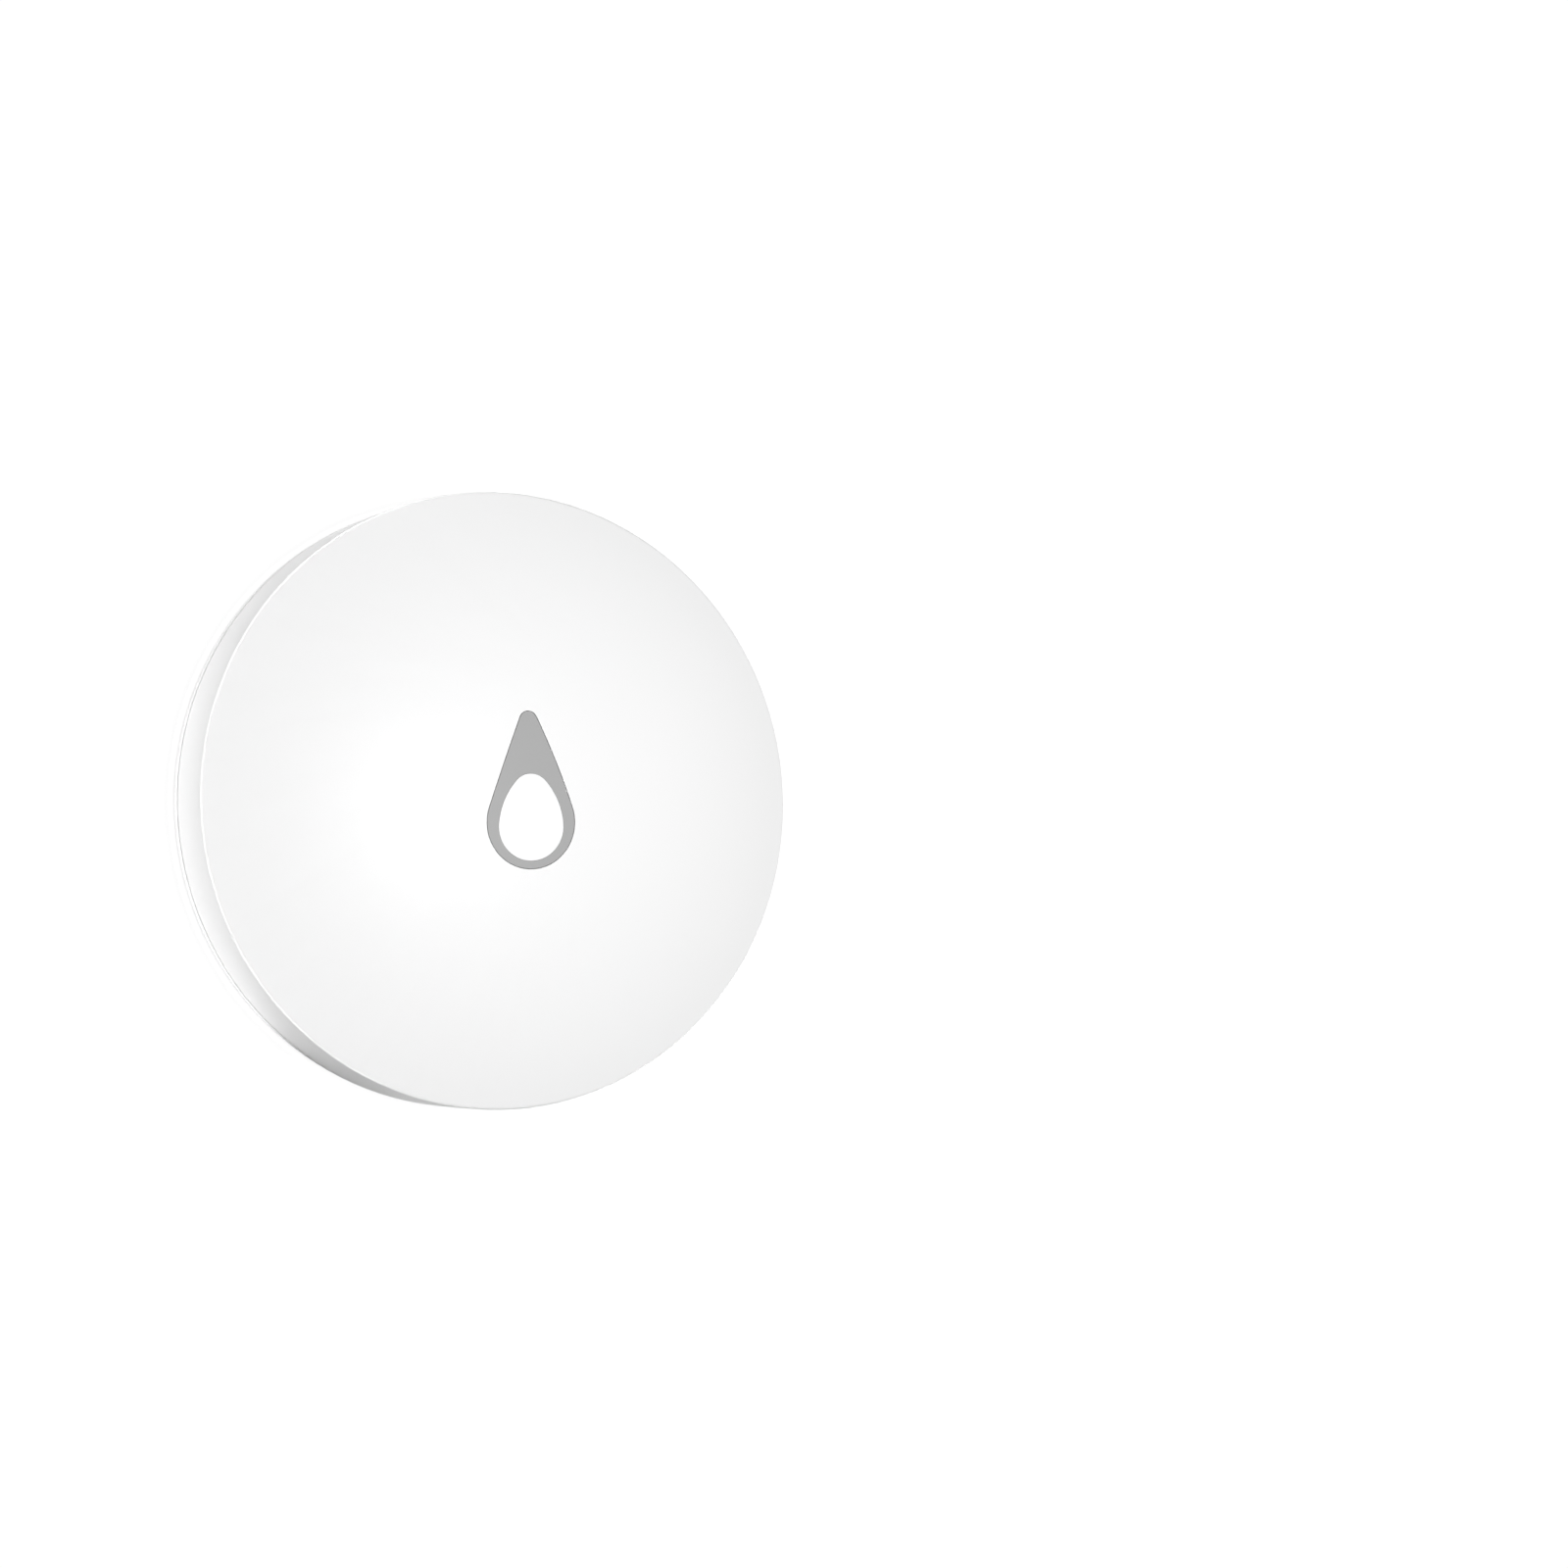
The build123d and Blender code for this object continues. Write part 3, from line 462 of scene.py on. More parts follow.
def finished(name, group_name, height, values, fixed=None):
    """Material that takes colour, roughness and bump from a group, and its other values as they are."""
    material = bpy.data.materials.new(name)
    material.use_nodes = True
    tree = material.node_tree
    shader = tree.nodes["Principled BSDF"]
    surface = new_node(tree, "ShaderNodeGroup", None, node_tree=group_named(group_name))
    for label, value in values.items():
        surface.inputs[label].default_value = value
    relief = {"Strength": 1.0, "Distance": height, "Height": surface.outputs["Height"]}
    bump = new_node(tree, "ShaderNodeBump", relief)
    tree.links.new(surface.outputs["Color"], shader.inputs["Base Color"])
    tree.links.new(surface.outputs["Roughness"], shader.inputs["Roughness"])
    tree.links.new(bump.outputs[0], shader.inputs["Normal"])
    for label, value in (fixed or {}).items():
        shader.inputs[label].default_value = value
    return material


def plastic(name, tint, gloss, drift=DRIFTS["case"], height_share=1.0, fixed=None):
    """Moulded plastic with the case's grain, or a share of it."""
    settings = bpy.context.scene.leak_sensor_plastic
    values = {
        "Color": (*tint, 1.0),
        "Grain Scale": 1 / settings.grain_size,
        "Drift": drift,
        "Low Roughness": gloss[0],
        "High Roughness": gloss[1],
    }
    return finished(name, "moulded surface", settings.grain_height * height_share, values, fixed)


def turned_metal(name, tint, centre=(0, 0, 0), gloss=TURNED):
    """Metal with rings about a vertical axis through centre."""
    settings = bpy.context.scene.leak_sensor_metal
    values = {
        "Color": (*tint, 1.0),
        "Centre": centre,
        "Ring Scale": 1 / settings.ring_pitch,
        "Low Roughness": gloss[0],
        "High Roughness": gloss[1],
    }
    return finished(name, "turned metal", settings.ring_height, values, {"Metallic": 1.0})


def stamped_metal(name, tint, stretch, gloss=STAMPED):
    """Metal strip with faint lines along its length."""
    settings = bpy.context.scene.leak_sensor_metal
    values = {"Color": (*tint, 1.0), "Stretch": stretch}
    values.update({"Low Roughness": gloss[0], "High Roughness": gloss[1]})
    return finished(name, "stamped metal", settings.ring_height, values, {"Metallic": 1.0})


def board_material():
    """Green lacquer over tracks that run one way or the other from patch to patch, with small vias."""
    settings = bpy.context.scene.leak_sensor_board
    values = {"Color": (*settings.mask, 1.0), "Grain Scale": GRAIN_ON_BOARD}
    values.update({"Low Roughness": LACQUERED[0], "High Roughness": LACQUERED[1]})
    values["Drift"] = DRIFTS["board"]
    material = finished("solder mask", "moulded surface", settings.mask_grain, values, LACQUER)
    tree = material.node_tree
    shader = tree.nodes["Principled BSDF"]
    where = object_place(tree)
    patch = new_node(
        tree, "ShaderNodeTexVoronoi", {"Vector": where, "Scale": PATCHES}, distance="CHEBYCHEV"
    ).outputs["Color"]
    patch = new_node(tree, "ShaderNodeSeparateColor", {0: patch}).outputs[0]
    pitch = 1 / settings.track_pitch
    axes = new_node(tree, "ShaderNodeSeparateXYZ", {0: where}).outputs
    strips = []
    for axis in (axes["X"], axes["Y"]):
        cycle = maths(tree, "FRACT", maths(tree, "MULTIPLY", axis, pitch))
        strips.append(maths(tree, "COMPARE", cycle, HALF, TRACK_SHARE))
    pick = maths(tree, "GREATER_THAN", patch, HALF)
    lines = maths(
        tree,
        "ADD",
        maths(tree, "MULTIPLY", strips[0], pick),
        maths(tree, "MULTIPLY", strips[1], maths(tree, "SUBTRACT", 1.0, pick)),
    )
    other_pick = maths(tree, "FRACT", maths(tree, "MULTIPLY", patch, PATCH_MIX))
    tracks = maths(tree, "MULTIPLY", lines, maths(tree, "GREATER_THAN", other_pick, BARE_SHARE))
    cells = new_node(tree, "ShaderNodeTexVoronoi", {"Vector": where, "Scale": VIA_CELLS})
    vias = maths(tree, "LESS_THAN", cells.outputs["Distance"], VIA_SHARE)
    ringed = blend_colour(tree, tracks, (*settings.mask, 1.0), (*settings.track, 1.0))
    tint = blend_colour(tree, vias, ringed, (*settings.copper, 1.0))
    tree.links.new(tint, shader.inputs["Base Color"])
    relief = {"Strength": 1.0, "Distance": settings.track_height, "Height": tracks}
    bump = new_node(tree, "ShaderNodeBump", relief)
    tree.links.new(bump.outputs[0], shader.inputs["Normal"])
    return material


def painted(material, mask, tint, metal=False):
    """Paints the zone that a mask picks out of a material, as metal if it is a metal end."""
    tree = material.node_tree
    shader = tree.nodes["Principled BSDF"].inputs
    under = shader["Base Color"].links[0].from_socket
    tree.links.new(blend_colour(tree, mask, under, (*tint, 1.0)), shader["Base Color"])
    if metal:
        tree.links.new(mask, shader["Metallic"])


def near_mask(tree, centre, radius):
    """One within a radius of a point, with a soft edge."""
    far = new_node(tree, "ShaderNodeVectorMath", {0: object_place(tree, centre)}, operation="LENGTH")
    return remap(tree, far.outputs["Value"], radius * DIMPLE_FULL_SHARE, radius, 1.0, 0.0)


def side_mask(tree, axis, centre, reach):
    """One beyond a reach from a point along one axis, on both sides."""
    along = new_node(tree, "ShaderNodeSeparateXYZ", {0: object_place(tree, centre)}).outputs[axis]
    return maths(tree, "GREATER_THAN", maths(tree, "ABSOLUTE", along), reach)


def clad(material, *nodes):
    """Gives CAD nodes one material."""
    for node in nodes:
        NODES[node].data.materials.clear()
        NODES[node].data.materials.append(material)


# Helpers for modelled pieces

def middle(box):
    return (box[0] + box[1]) / 2


def islands(node):
    """Lowest and highest corner of each separate solid in a CAD node, from a merged copy."""
    shape = bmesh.new()
    shape.from_mesh(NODES[node].data)
    bmesh.ops.remove_doubles(shape, verts=shape.verts, dist=MERGE)
    waiting = set(shape.verts)
    found = []
    while waiting:
        edge = [waiting.pop()]
        group = list(edge)
        while edge:
            vert = edge.pop()
            for link in vert.link_edges:
                other = link.other_vert(vert)
                if other in waiting:
                    waiting.remove(other)
                    edge.append(other)
                    group.append(other)
        axes = list(zip(*(vert.co for vert in group)))
        found.append((Vector(map(min, axes)), Vector(map(max, axes))))
    shape.free()
    return sorted(found, key=lambda box: tuple(box[0]))


def add_block(shape, low, high, edge_round):
    """Block between two corners with rounded edges."""
    size = high - low
    frame_matrix = Matrix.Translation((low + high) / 2) @ Matrix.Diagonal((*size, 1.0))
    made = bmesh.ops.create_cube(shape, size=1.0, matrix=frame_matrix)["verts"]
    edges = list({edge for vert in made for edge in vert.link_edges})
    bmesh.ops.bevel(
        shape,
        geom=edges,
        offset=edge_round,
        segments=EDGE_STEPS,
        profile=HALF,
        affect="EDGES",
        material=-1,
    )


def add_ring(shape, centre, inner, outer, low_z, high_z, steps, points, squareness):
    """Ring about a vertical axis with a rounded section, squeezed towards a rectangle by squareness."""
    section = bmesh.ops.create_circle(shape, cap_ends=False, segments=points, radius=1.0)["verts"]
    for vert in section:
        side, rise = vert.co.x, vert.co.y
        swell = 1 + squareness * min(abs(side), abs(rise))
        side, rise = max(-1.0, min(1.0, side * swell)), max(-1.0, min(1.0, rise * swell))
        radius = (inner + outer) / 2 + side * (outer - inner) / 2
        vert.co = Vector((centre[0] + radius, centre[1], (low_z + high_z) / 2 + rise * (high_z - low_z) / 2))
    edges = list({edge for vert in section for edge in vert.link_edges})
    bmesh.ops.spin(
        shape,
        geom=section + edges,
        cent=(centre[0], centre[1], 0),
        axis=(0, 0, 1),
        angle=2 * pi,
        steps=steps,
        use_merge=True,
        use_duplicate=False,
    )


def add_dome(shape, centre, size):
    """Low solder dome: the upper half of a squashed ball, closed underneath."""
    frame_matrix = Matrix.Translation(centre) @ Matrix.Diagonal((*size, 1.0))
    made = bmesh.ops.create_uvsphere(
        shape, u_segments=DOME_STEPS, v_segments=DOME_RINGS, radius=1.0, matrix=frame_matrix
    )["verts"]
    faces = list({face for vert in made for face in vert.link_faces})
    edges = list({edge for vert in made for edge in vert.link_edges})
    cut = bmesh.ops.bisect_plane(
        shape,
        geom=made + faces + edges,
        dist=MERGE,
        plane_co=centre,
        plane_no=(0, 0, -1),
        clear_outer=True,
    )["geom_cut"]
    bmesh.ops.contextual_create(shape, geom=[item for item in cut if isinstance(item, bmesh.types.BMEdge)])


def make_piece(name, shape, material, body):
    """Turns a finished shape into a piece that rides on a body and wears the given material."""
    bmesh.ops.remove_doubles(shape, verts=shape.verts, dist=MERGE)
    bmesh.ops.recalc_face_normals(shape, faces=shape.faces)
    mesh = bpy.data.meshes.new(name)
    shape.to_mesh(mesh)
    shape.free()
    mesh.materials.append(material)
    mesh.shade_smooth()
    mesh.set_sharp_from_angle(angle=radians(SHARP_EDGE))
    piece = bpy.data.objects.new(name, mesh)
    bpy.context.scene.collection.objects.link(piece)
    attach(piece, body)
    return piece


# Operators: the case

class FinishCase(bpy.types.Operator):
    """White satin plastic on the shell, the base and the battery cover"""

    bl_idname = "leak_sensor.finish_case"
    bl_label = "Finish Case"

    def execute(self, context):
        settings = context.scene.leak_sensor_plastic
        gloss = (settings.case_gloss, settings.case_gloss + GLOSS_SPAN)
        case = plastic("case plastic", settings.case_colour, gloss, fixed=DULL)
        clad(case, "top_shell", "base_housing")
        cover = plastic("cover plastic", settings.case_colour, gloss, DRIFTS["cover"], fixed=DULL)
        clad(cover, "battery_cover")
        retainer = plastic("retainer plastic", settings.inner_colour, gloss, DRIFTS["retainer"])
        clad(retainer, "button_retainer")
        return {"FINISHED"}


class FinishKey(bpy.types.Operator):
    """Grey satin plastic on the drop button and milky plastic in its window"""

    bl_idname = "leak_sensor.finish_key"
    bl_label = "Finish Key and Window"

    def execute(self, context):
        settings = context.scene.leak_sensor_plastic
        key = plastic("key plastic", settings.key_colour, SATIN, DRIFTS["key"], fixed=DULL)
        clad(key, "drop_button")
        tint = settings.window_colour
        milky = plastic("window plastic", tint, SMOOTH, DRIFTS["window"], WINDOW_GRAIN_SHARE, MILKY)
        clad(milky, "indicator_window")
        return {"FINISHED"}


class FinishLightGuide(bpy.types.Operator):
    """Clear acrylic on the light guide, and the indicator light under it"""

    bl_idname = "leak_sensor.finish_light_guide"
    bl_label = "Finish Light Guide and Light"

    def execute(self, context):
        tint = context.scene.leak_sensor_plastic.clear_colour
        clear = plastic("clear acrylic", tint, POLISHED, height_share=CLEAR_GRAIN_SHARE, fixed=CLEAR)
        clad(clear, "light_guide")
        board = context.scene.leak_sensor_board
        light = plastic("indicator light", board.reflector, SMOOTH, height_share=HALF)
        low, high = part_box("indicator_led")
        lens = side_mask(light.node_tree, "Z", (0, 0, low.z), (high.z - low.z) / 2)
        painted(light, lens, board.phosphor)
        clad(light, "indicator_led")
        return {"FINISHED"}


# Operators: seals

class MakeSeals(bpy.types.Operator):
    """Rubber rings in place of the plain seals, and silicone on the button seal"""

    bl_idname = "leak_sensor.make_seals"
    bl_label = "Make Seals"

    def execute(self, context):
        settings = context.scene.leak_sensor_rubber
        values = {"Color": (*settings.black, 1.0), "Grain Scale": 1 / settings.grain_size}
        values.update({"Low Roughness": RUBBERY[0], "High Roughness": RUBBERY[1]})
        values["Drift"] = DRIFTS["rubber"]
        black = finished("black rubber", "moulded surface", settings.grain_height, values)
        rings = (
            ("cover_ring", "cover_seal", settings.cover_ring_width, "cover_seal"),
            ("shell_ring", "shell_gasket", settings.shell_ring_width, "case"),
            ("probe_washer_left", "probe_seal_left", settings.washer_width, "case"),
            ("probe_washer_right", "probe_seal_right", settings.washer_width, "case"),
        )
        for name, node, width, body in rings:
            low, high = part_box(node)
            outer = (high.x - low.x) / 2
            shape = bmesh.new()
            add_ring(
                shape,
                middle((low, high)),
                outer - width,
                outer,
                low.z,
                high.z,
                settings.ring_steps,
                settings.section_points,
                SEAL_SQUARENESS,
            )
            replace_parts(make_piece(name, shape, black, body), node)
        values.update({"Color": (*settings.silicone, 1.0), "Drift": DRIFTS["silicone"]})
        values.update({"Low Roughness": FIRM[0], "High Roughness": FIRM[1]})
        silicone = finished("silicone", "moulded surface", settings.grain_height * HALF, values, SOFT)
        clad(silicone, "button_seal")
        return {"FINISHED"}


# Operators: metal parts

class FinishProbes(bpy.types.Operator):
    """Turned steel on the two water probes and brass on their nuts"""

    bl_idname = "leak_sensor.finish_probes"
    bl_label = "Finish Probes and Nuts"

    def execute(self, context):
        settings = context.scene.leak_sensor_metal
        for side in ("left", "right"):
            node = "probe_" + side
            clad(turned_metal("turned steel " + side, settings.steel, middle(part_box(node))), node)
        clad(stamped_metal("nut brass", settings.brass, LINES["nut"]), "probe_nuts")
        return {"FINISHED"}


class FinishScrews(bpy.types.Operator):
    """Zinc plating on the board's and the retainer's screws"""

    bl_idname = "leak_sensor.finish_screws"
    bl_label = "Finish Screws"

    def execute(self, context):
        settings = context.scene.leak_sensor_metal
        zinc = stamped_metal("zinc plating", settings.zinc, LINES["screw"])
        clad(zinc, "board_screws", "retainer_screws")
        return {"FINISHED"}


class FinishCell(bpy.types.Operator):
    """Nickel-plated steel on the coin cell and the battery contacts"""

    bl_idname = "leak_sensor.finish_cell"
    bl_label = "Finish Coin Cell and Contacts"

    def execute(self, context):
        settings = context.scene.leak_sensor_metal
        clad(turned_metal("cell steel", settings.nickel, gloss=PLATED), "coin_cell_can", "coin_cell_cap")
        tint = context.scene.leak_sensor_plastic.ring_colour
        clad(plastic("cell ring plastic", tint, FIRM, DRIFTS["cell ring"]), "coin_cell_ring")
        clad(stamped_metal("contact strip", settings.nickel, LINES["contact"]), "negative_contact")
        clad(stamped_metal("finger strip", settings.nickel, LINES["finger"]), "positive_contact")
        return {"FINISHED"}


# Operators: the circuit board and what stands on it

class FinishBoard(bpy.types.Operator):
    """Green lacquer with tracks on the board, gold on the antenna and on rings around its holes"""

    bl_idname = "leak_sensor.finish_board"
    bl_label = "Finish Circuit Board"

    def execute(self, context):
        settings = context.scene.leak_sensor_board
        clad(board_material(), "circuit_board")
        gold = stamped_metal("gold plating", settings.copper, LINES["gold"], PLATED)
        clad(gold, "antenna")
        board_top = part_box("circuit_board")[1].z
        shape = bmesh.new()
        for box in islands("board_screws") + islands("probe_nuts"):
            size = box[1] - box[0]
            inner = max(size.x, size.y) / 2 + settings.pad_gap
            add_ring(
                shape,
                middle(box),
                inner,
                inner + settings.pad_reach,
                board_top,
                board_top + settings.pad_height,
                PAD_STEPS,
                PAD_SECTION,
                PAD_SQUARENESS,
            )
        make_piece("board_pads", shape, gold, "case")
        return {"FINISHED"}


class FinishChips(bpy.types.Operator):
    """Resin, ceramic and plated lids on the board's parts, and their tinned ends and solder"""

    bl_idname = "leak_sensor.finish_chips"
    bl_label = "Finish Parts on the Board"

    def execute(self, context):
        plastics = context.scene.leak_sensor_plastic
        settings = context.scene.leak_sensor_board
        metals = context.scene.leak_sensor_metal
        self.finish_radio_chip(plastics.resin_colour, settings, metals.tin)
        low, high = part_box("switch_body")
        switch = plastic("switch resin", plastics.resin_colour, CAST, DRIFTS["resin"])
        legs = side_mask(switch.node_tree, "X", middle((low, high)), (high.y - low.y) / 2)
        painted(switch, legs, metals.tin, metal=True)
        clad(switch, "switch_body")
        drift = DRIFTS["resin"]
        clad(plastic("plunger resin", plastics.plunger_colour, FIRM, drift), "switch_plunger")
        clad(plastic("resistor glaze", plastics.glaze_colour, GLAZED, drift), "resistors")
        clad(plastic("capacitor ceramic", settings.ceramic, CAST, DRIFTS["ceramic"]), "capacitors")
        clad(stamped_metal("crystal lid", metals.nickel, LINES["lid"]), "radio_crystal")
        tin = stamped_metal("tin", metals.tin, LINES["tin"], TINNED)
        board_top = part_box("circuit_board")[1].z
        self.make_ends(tin, settings, board_top)
        self.make_solder(tin, settings, board_top)
        return {"FINISHED"}

    def finish_radio_chip(self, resin, settings, tin):
        """Black resin with a dimple at one corner and tinned feet around its underside."""
        low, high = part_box("radio_chip")
        chip = plastic("chip resin", resin, CAST, DRIFTS["resin"])
        inwards = Vector((1, -1, 0)) * settings.dimple_place * (high.x - low.x)
        corner = Vector((low.x, high.y, high.z)) + inwards
        pale = [value + DIMPLE_PALER for value in resin]
        painted(chip, near_mask(chip.node_tree, corner, settings.dimple), pale)
        body = side_mask(chip.node_tree, "Z", (0, 0, high.z), high.z - low.z - settings.chip_lift)
        painted(chip, body, tin, metal=True)
        clad(chip, "radio_chip")

    def make_ends(self, tin, settings, board_top):
        """Tinned caps on both ends of each resistor and capacitor."""
        shape = bmesh.new()
        proud = settings.terminal_cover
        for low, high in islands("resistors") + islands("capacitors"):
            for inner_x, outer_x in (
                (low.x + settings.terminal_length, low.x - proud),
                (high.x - settings.terminal_length, high.x + proud),
            ):
                first = Vector((min(inner_x, outer_x), low.y - proud, board_top))
                second = Vector((max(inner_x, outer_x), high.y + proud, high.z + proud))
                add_block(shape, first, second, proud * END_ROUND_SHARE)
        make_piece("chip_ends", shape, tin, "case")

    def make_solder(self, tin, settings, board_top):
        """Solder domes beside the ends of the small parts, and at the switch, the light and the crystal."""
        shape = bmesh.new()
        rise = settings.solder_height
        reach = settings.terminal_length
        nodes = ("resistors", "capacitors", "indicator_led", "radio_crystal")
        for low, high in (box for node in nodes for box in islands(node)):
            half_width = (high.y - low.y) * SOLDER_SHARE
            for x in (low.x, high.x):
                centre = Vector((x, (low.y + high.y) / 2, board_top))
                add_dome(shape, centre, Vector((reach, half_width, rise)))
        low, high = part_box("switch_body")
        wide, deep, tall = LEG_SOLDER_SHARES
        size = Vector((reach * wide, reach * deep, rise * tall))
        for x in (low.x, high.x):
            for share_y in LEG_SHARES:
                y = low.y + share_y * (high.y - low.y)
                add_dome(shape, Vector((x, y, board_top)), size)
        make_piece("solder_joints", shape, tin, "case")


# Operator: the stage

class SetStage(bpy.types.Operator):
    """Pale floor that lights the wall, soft suns, plain world and the camera"""

    bl_idname = "leak_sensor.set_stage"
    bl_label = "Set Stage"

    def execute(self, context):
        settings = context.scene.leak_sensor_stage
        context.scene.view_settings.view_transform = "Standard"
        self.make_camera(context.scene, settings)
        self.make_world(context.scene, settings)
        self.make_floor(context.scene, settings)
        self.make_glow(context.scene, settings)
        for name, tilt, turn, spread in SUNS:
            self.make_sun(context.scene, name, getattr(settings, name), tilt, turn, spread)
        shell_only = bpy.data.collections.new("lit by the rim glints")
        shell_only.objects.link(NODES["top_shell"])
        for tilt, turn in GLINTS:
            glint = self.make_sun(context.scene, "rim glint", settings.rim_glint, tilt, turn, GLINT_SPREAD)
            glint.visible_diffuse = False
            glint.light_linking.receiver_collection = shell_only
        return {"FINISHED"}

    def make_camera(self, scene, settings):
        """Camera at the photograph's viewing angle: a long lens, leaning towards the left."""
        position, target = Vector(settings.camera_place), Vector(settings.camera_target)
        back = (position - target).normalized()
        side = Vector((0, 1, 0)).cross(back).normalized()
        up = back.cross(side)
        turn = settings.camera_roll
        right = side * cos(turn) + up * sin(turn)
        top = up * cos(turn) - side * sin(turn)
        stand = Matrix((right, top, back)).transposed().to_4x4()
        stand.translation = position
        data = bpy.data.cameras.new("camera")
        data.lens = settings.lens
        data.sensor_width = settings.sensor
        camera = bpy.data.objects.new("camera", data)
        camera.matrix_world = stand
        scene.collection.objects.link(camera)
        scene.camera = camera

    def seen_directly(self, tree):
        """One where the camera, a reflection or a clear part looks, and the Light Path's sockets."""
        rays = new_node(tree, "ShaderNodeLightPath").outputs
        seen = maths(tree, "MAXIMUM", rays["Is Camera Ray"], rays["Is Glossy Ray"])
        return maths(tree, "MAXIMUM", seen, rays["Is Transmission Ray"]), rays

    def make_world(self, scene, settings):
        world = bpy.data.worlds.new("studio")
        world.use_nodes = True
        tree = world.node_tree
        tree.nodes.clear()
        seen, _ = self.seen_directly(tree)
        soft = new_node(tree, "ShaderNodeBackground", {"Color": WHITE, "Strength": settings.ambient})
        plain = new_node(tree, "ShaderNodeBackground", {"Color": WHITE, "Strength": 1.0})
        both = new_node(tree, "ShaderNodeMixShader", {0: seen, 1: soft.outputs[0], 2: plain.outputs[0]})
        new_node(tree, "ShaderNodeOutputWorld", {"Surface": both.outputs[0]})
        scene.world = world

    def make_floor(self, scene, settings):
        """Pale floor that keeps the soft shadow; it is clear from underneath and to the lamps below."""
        shape = bmesh.new()
        under = Matrix.Translation((0, 0, -settings.floor_drop))
        bmesh.ops.create_grid(shape, x_segments=1, y_segments=1, size=settings.floor_size, matrix=under)
        mesh = bpy.data.meshes.new("floor")
        shape.to_mesh(mesh)
        shape.free()
        material = bpy.data.materials.new("floor")
        material.use_nodes = True
        tree = material.node_tree
        tree.nodes.clear()
        seen, rays = self.seen_directly(tree)
        pale, bounce = (
            new_node(tree, "ShaderNodeBsdfDiffuse", {"Color": (white, white, white, 1.0)}).outputs[0]
            for white in (settings.floor_white, settings.floor_bounce)
        )
        glow = new_node(tree, "ShaderNodeEmission", {"Color": WHITE, "Strength": settings.floor_glow})
        shown = new_node(tree, "ShaderNodeAddShader", {0: pale, 1: glow.outputs[0]}).outputs[0]
        upper = new_node(tree, "ShaderNodeMixShader", {0: seen, 1: bounce, 2: shown}).outputs[0]
        backside = new_node(tree, "ShaderNodeNewGeometry").outputs["Backfacing"]
        through = maths(tree, "MAXIMUM", backside, rays["Is Shadow Ray"])
        clear = new_node(tree, "ShaderNodeBsdfTransparent").outputs[0]
        surface = new_node(tree, "ShaderNodeMixShader", {0: through, 1: upper, 2: clear}).outputs[0]
        new_node(tree, "ShaderNodeOutputMaterial", {"Surface": surface})
        mesh.materials.append(material)
        floor = bpy.data.objects.new("floor", mesh)
        scene.collection.objects.link(floor)

    def make_glow(self, scene, settings):
        """Sector of the floor around the left side that lights the wall, hidden from the camera."""
        first, last = radians(GLOW_SHARES[0][0]), radians(GLOW_SHARES[-1][0])
        shape = bmesh.new()
        ends = []
        for radius in (settings.glow_start, settings.glow_end):
            corner = (radius * cos(first), radius * sin(first), settings.glow_lift)
            ends += bmesh.ops.create_vert(shape, co=corner)["vert"]
        edges = bmesh.ops.contextual_create(shape, geom=ends)["edges"]
        bmesh.ops.spin(
            shape,
            geom=ends + edges,
            cent=(0, 0, 0),
            axis=(0, 0, 1),
            angle=last - first,
            steps=GLOW_STEPS,
            use_merge=False,
            use_duplicate=False,
        )
        shape.normal_update()
        bmesh.ops.reverse_faces(shape, faces=[face for face in shape.faces if face.normal.z < 0])
        mesh = bpy.data.meshes.new("glow")
        shape.to_mesh(mesh)
        shape.free()
        material = bpy.data.materials.new("glow")
        material.use_nodes = True
        tree = material.node_tree
        tree.nodes.clear()
        axes = new_node(tree, "ShaderNodeSeparateXYZ", {0: object_place(tree)}).outputs
        to_left, to_front = (maths(tree, "MULTIPLY", axes[name], -1.0) for name in ("X", "Y"))
        turn = maths(tree, "ARCTAN2", to_front, to_left)
        along = remap(tree, turn, first - pi, last - pi, 0.0, 1.0)
        ramp = new_node(tree, "ShaderNodeValToRGB", {"Fac": along})
        stops = ramp.color_ramp.elements
        for degrees, _ in GLOW_SHARES[1:-1]:
            stops.new((radians(degrees) - first) / (last - first))
        for stop, (_, glow_share) in zip(stops, GLOW_SHARES):
            stop.color = (glow_share, glow_share, glow_share, 1.0)
        upper = maths(tree, "SUBTRACT", 1.0, new_node(tree, "ShaderNodeNewGeometry").outputs["Backfacing"])
        strength = maths(tree, "MULTIPLY", upper, settings.glow)
        light = new_node(tree, "ShaderNodeEmission", {"Color": ramp.outputs["Color"], "Strength": strength})
        new_node(tree, "ShaderNodeOutputMaterial", {"Surface": light.outputs[0]})
        mesh.materials.append(material)
        glow = bpy.data.objects.new("glow", mesh)
        glow.visible_camera = glow.visible_glossy = glow.visible_transmission = glow.visible_shadow = False
        scene.collection.objects.link(glow)

    def make_sun(self, scene, name, strength, tilt, turn, spread):
        """Distant lamp that gives a white face turned to it the wanted level."""
        light = bpy.data.lights.new(name, "SUN")
        light.energy = strength * pi
        light.angle = radians(spread)
        lamp = bpy.data.objects.new(name, light)
        lamp.rotation_euler = (0, radians(tilt), radians(turn))
        scene.collection.objects.link(lamp)
        return lamp


OPERATORS = (
    FinishCase,
    FinishKey,
    FinishLightGuide,
    MakeSeals,
    FinishProbes,
    FinishScrews,
    FinishCell,
    FinishBoard,
    FinishChips,
    SetStage,
)


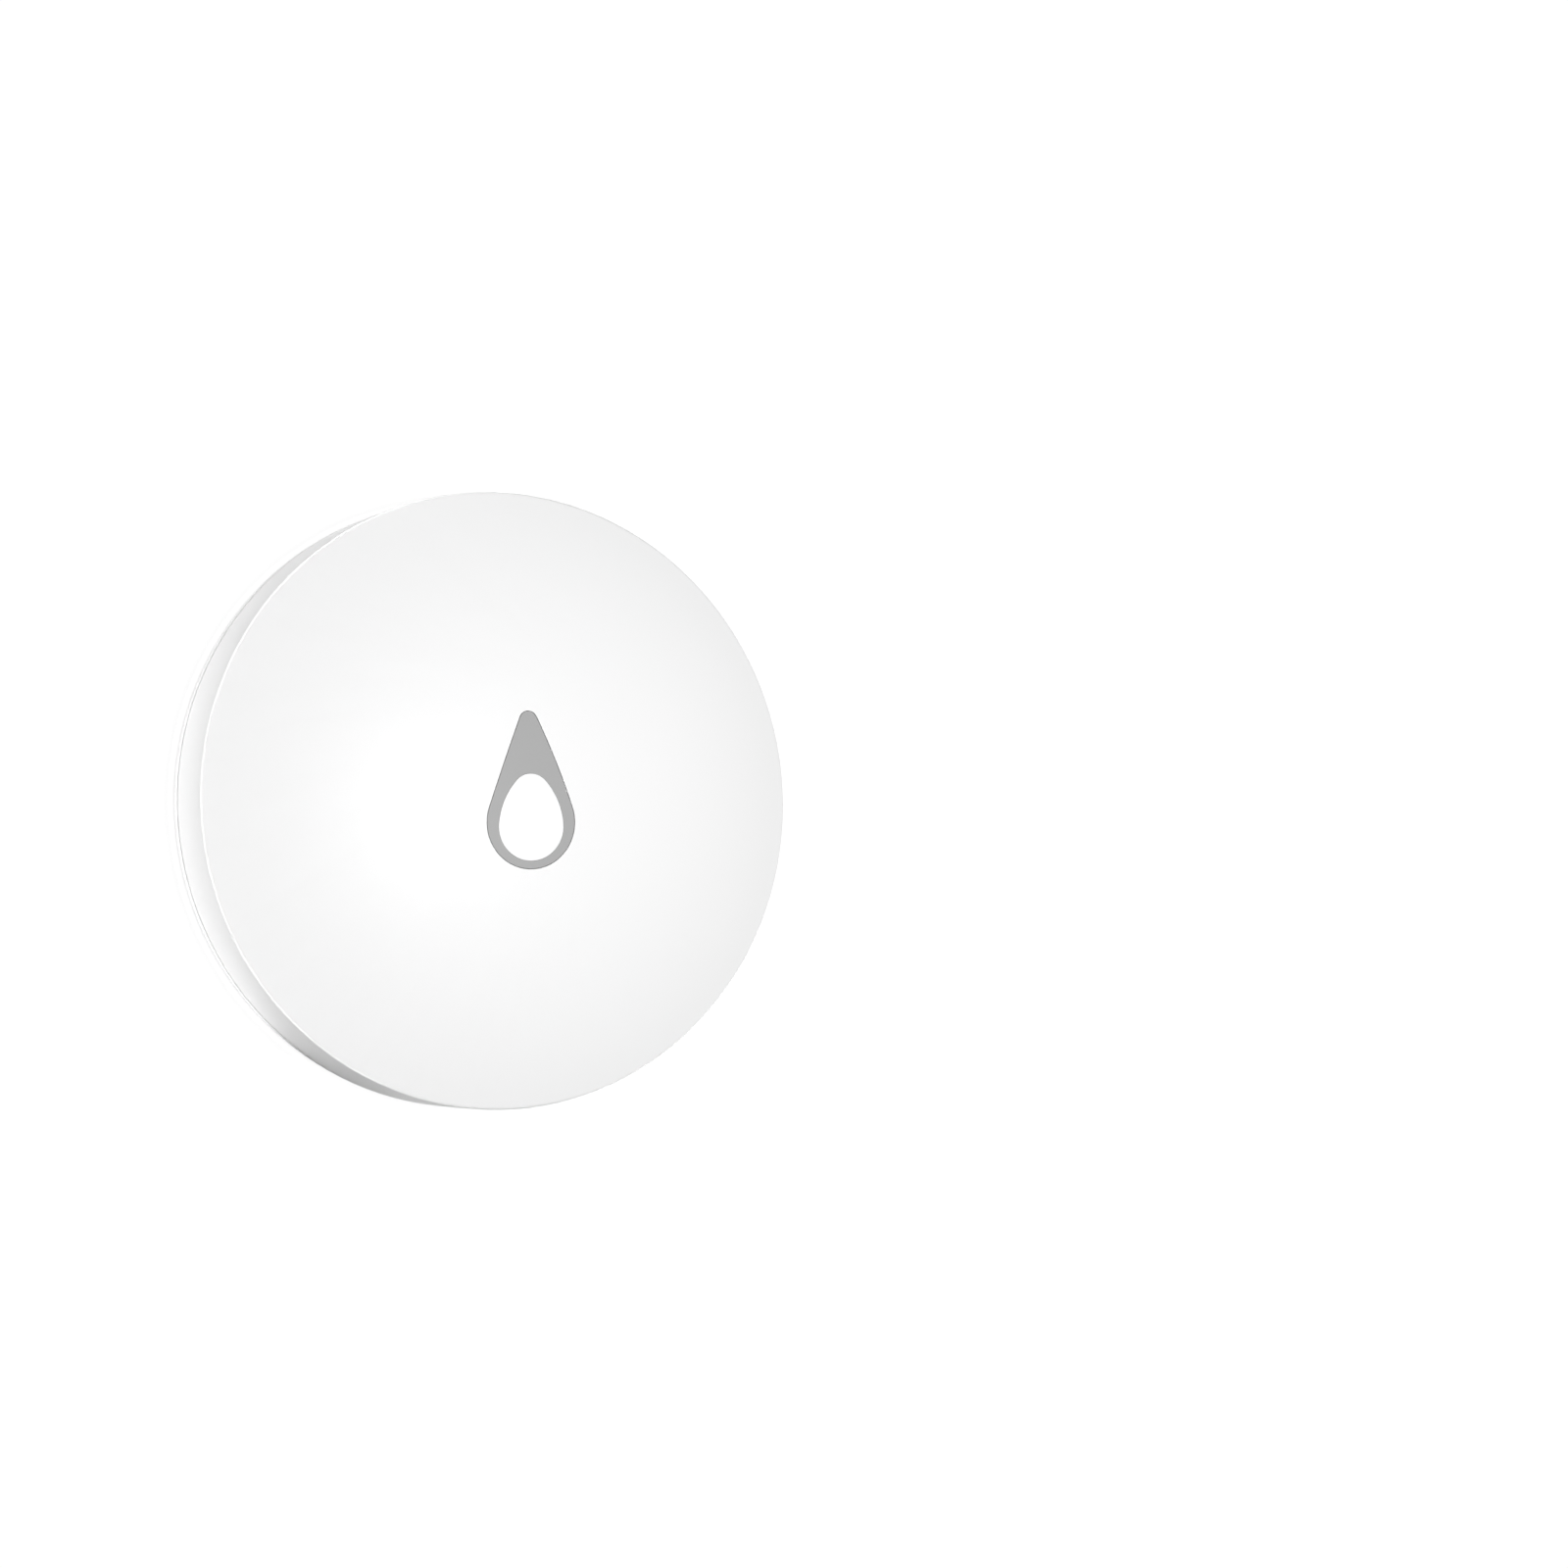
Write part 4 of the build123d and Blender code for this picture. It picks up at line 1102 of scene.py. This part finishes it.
class LeakSensorPanel(bpy.types.Panel):
    """Lists the steps that finish the sensor"""

    bl_idname = "VIEW3D_PT_leak_sensor"
    bl_label = "Water Leak Sensor"
    bl_space_type = "VIEW_3D"
    bl_region_type = "UI"
    bl_category = "Leak Sensor"

    def draw(self, context):
        for name in SETTINGS:
            box = self.layout.box()
            settings = getattr(context.scene, name)
            for label in settings.__annotations__:
                box.prop(settings, label)
        for operator in OPERATORS:
            self.layout.operator(operator.bl_idname)


def register():
    for kind in (*SETTINGS.values(), *OPERATORS, LeakSensorPanel):
        bpy.utils.register_class(kind)
    for name, kind in SETTINGS.items():
        setattr(bpy.types.Scene, name, PointerProperty(type=kind))


def unregister():
    for name in SETTINGS:
        delattr(bpy.types.Scene, name)
    for kind in reversed((*SETTINGS.values(), *OPERATORS, LeakSensorPanel)):
        bpy.utils.unregister_class(kind)


def main():
    register()
    for operator in OPERATORS:
        step = operator.bl_idname.split(".")[1]
        getattr(bpy.ops.leak_sensor, step)()


if __name__ == "__main__":
    main()
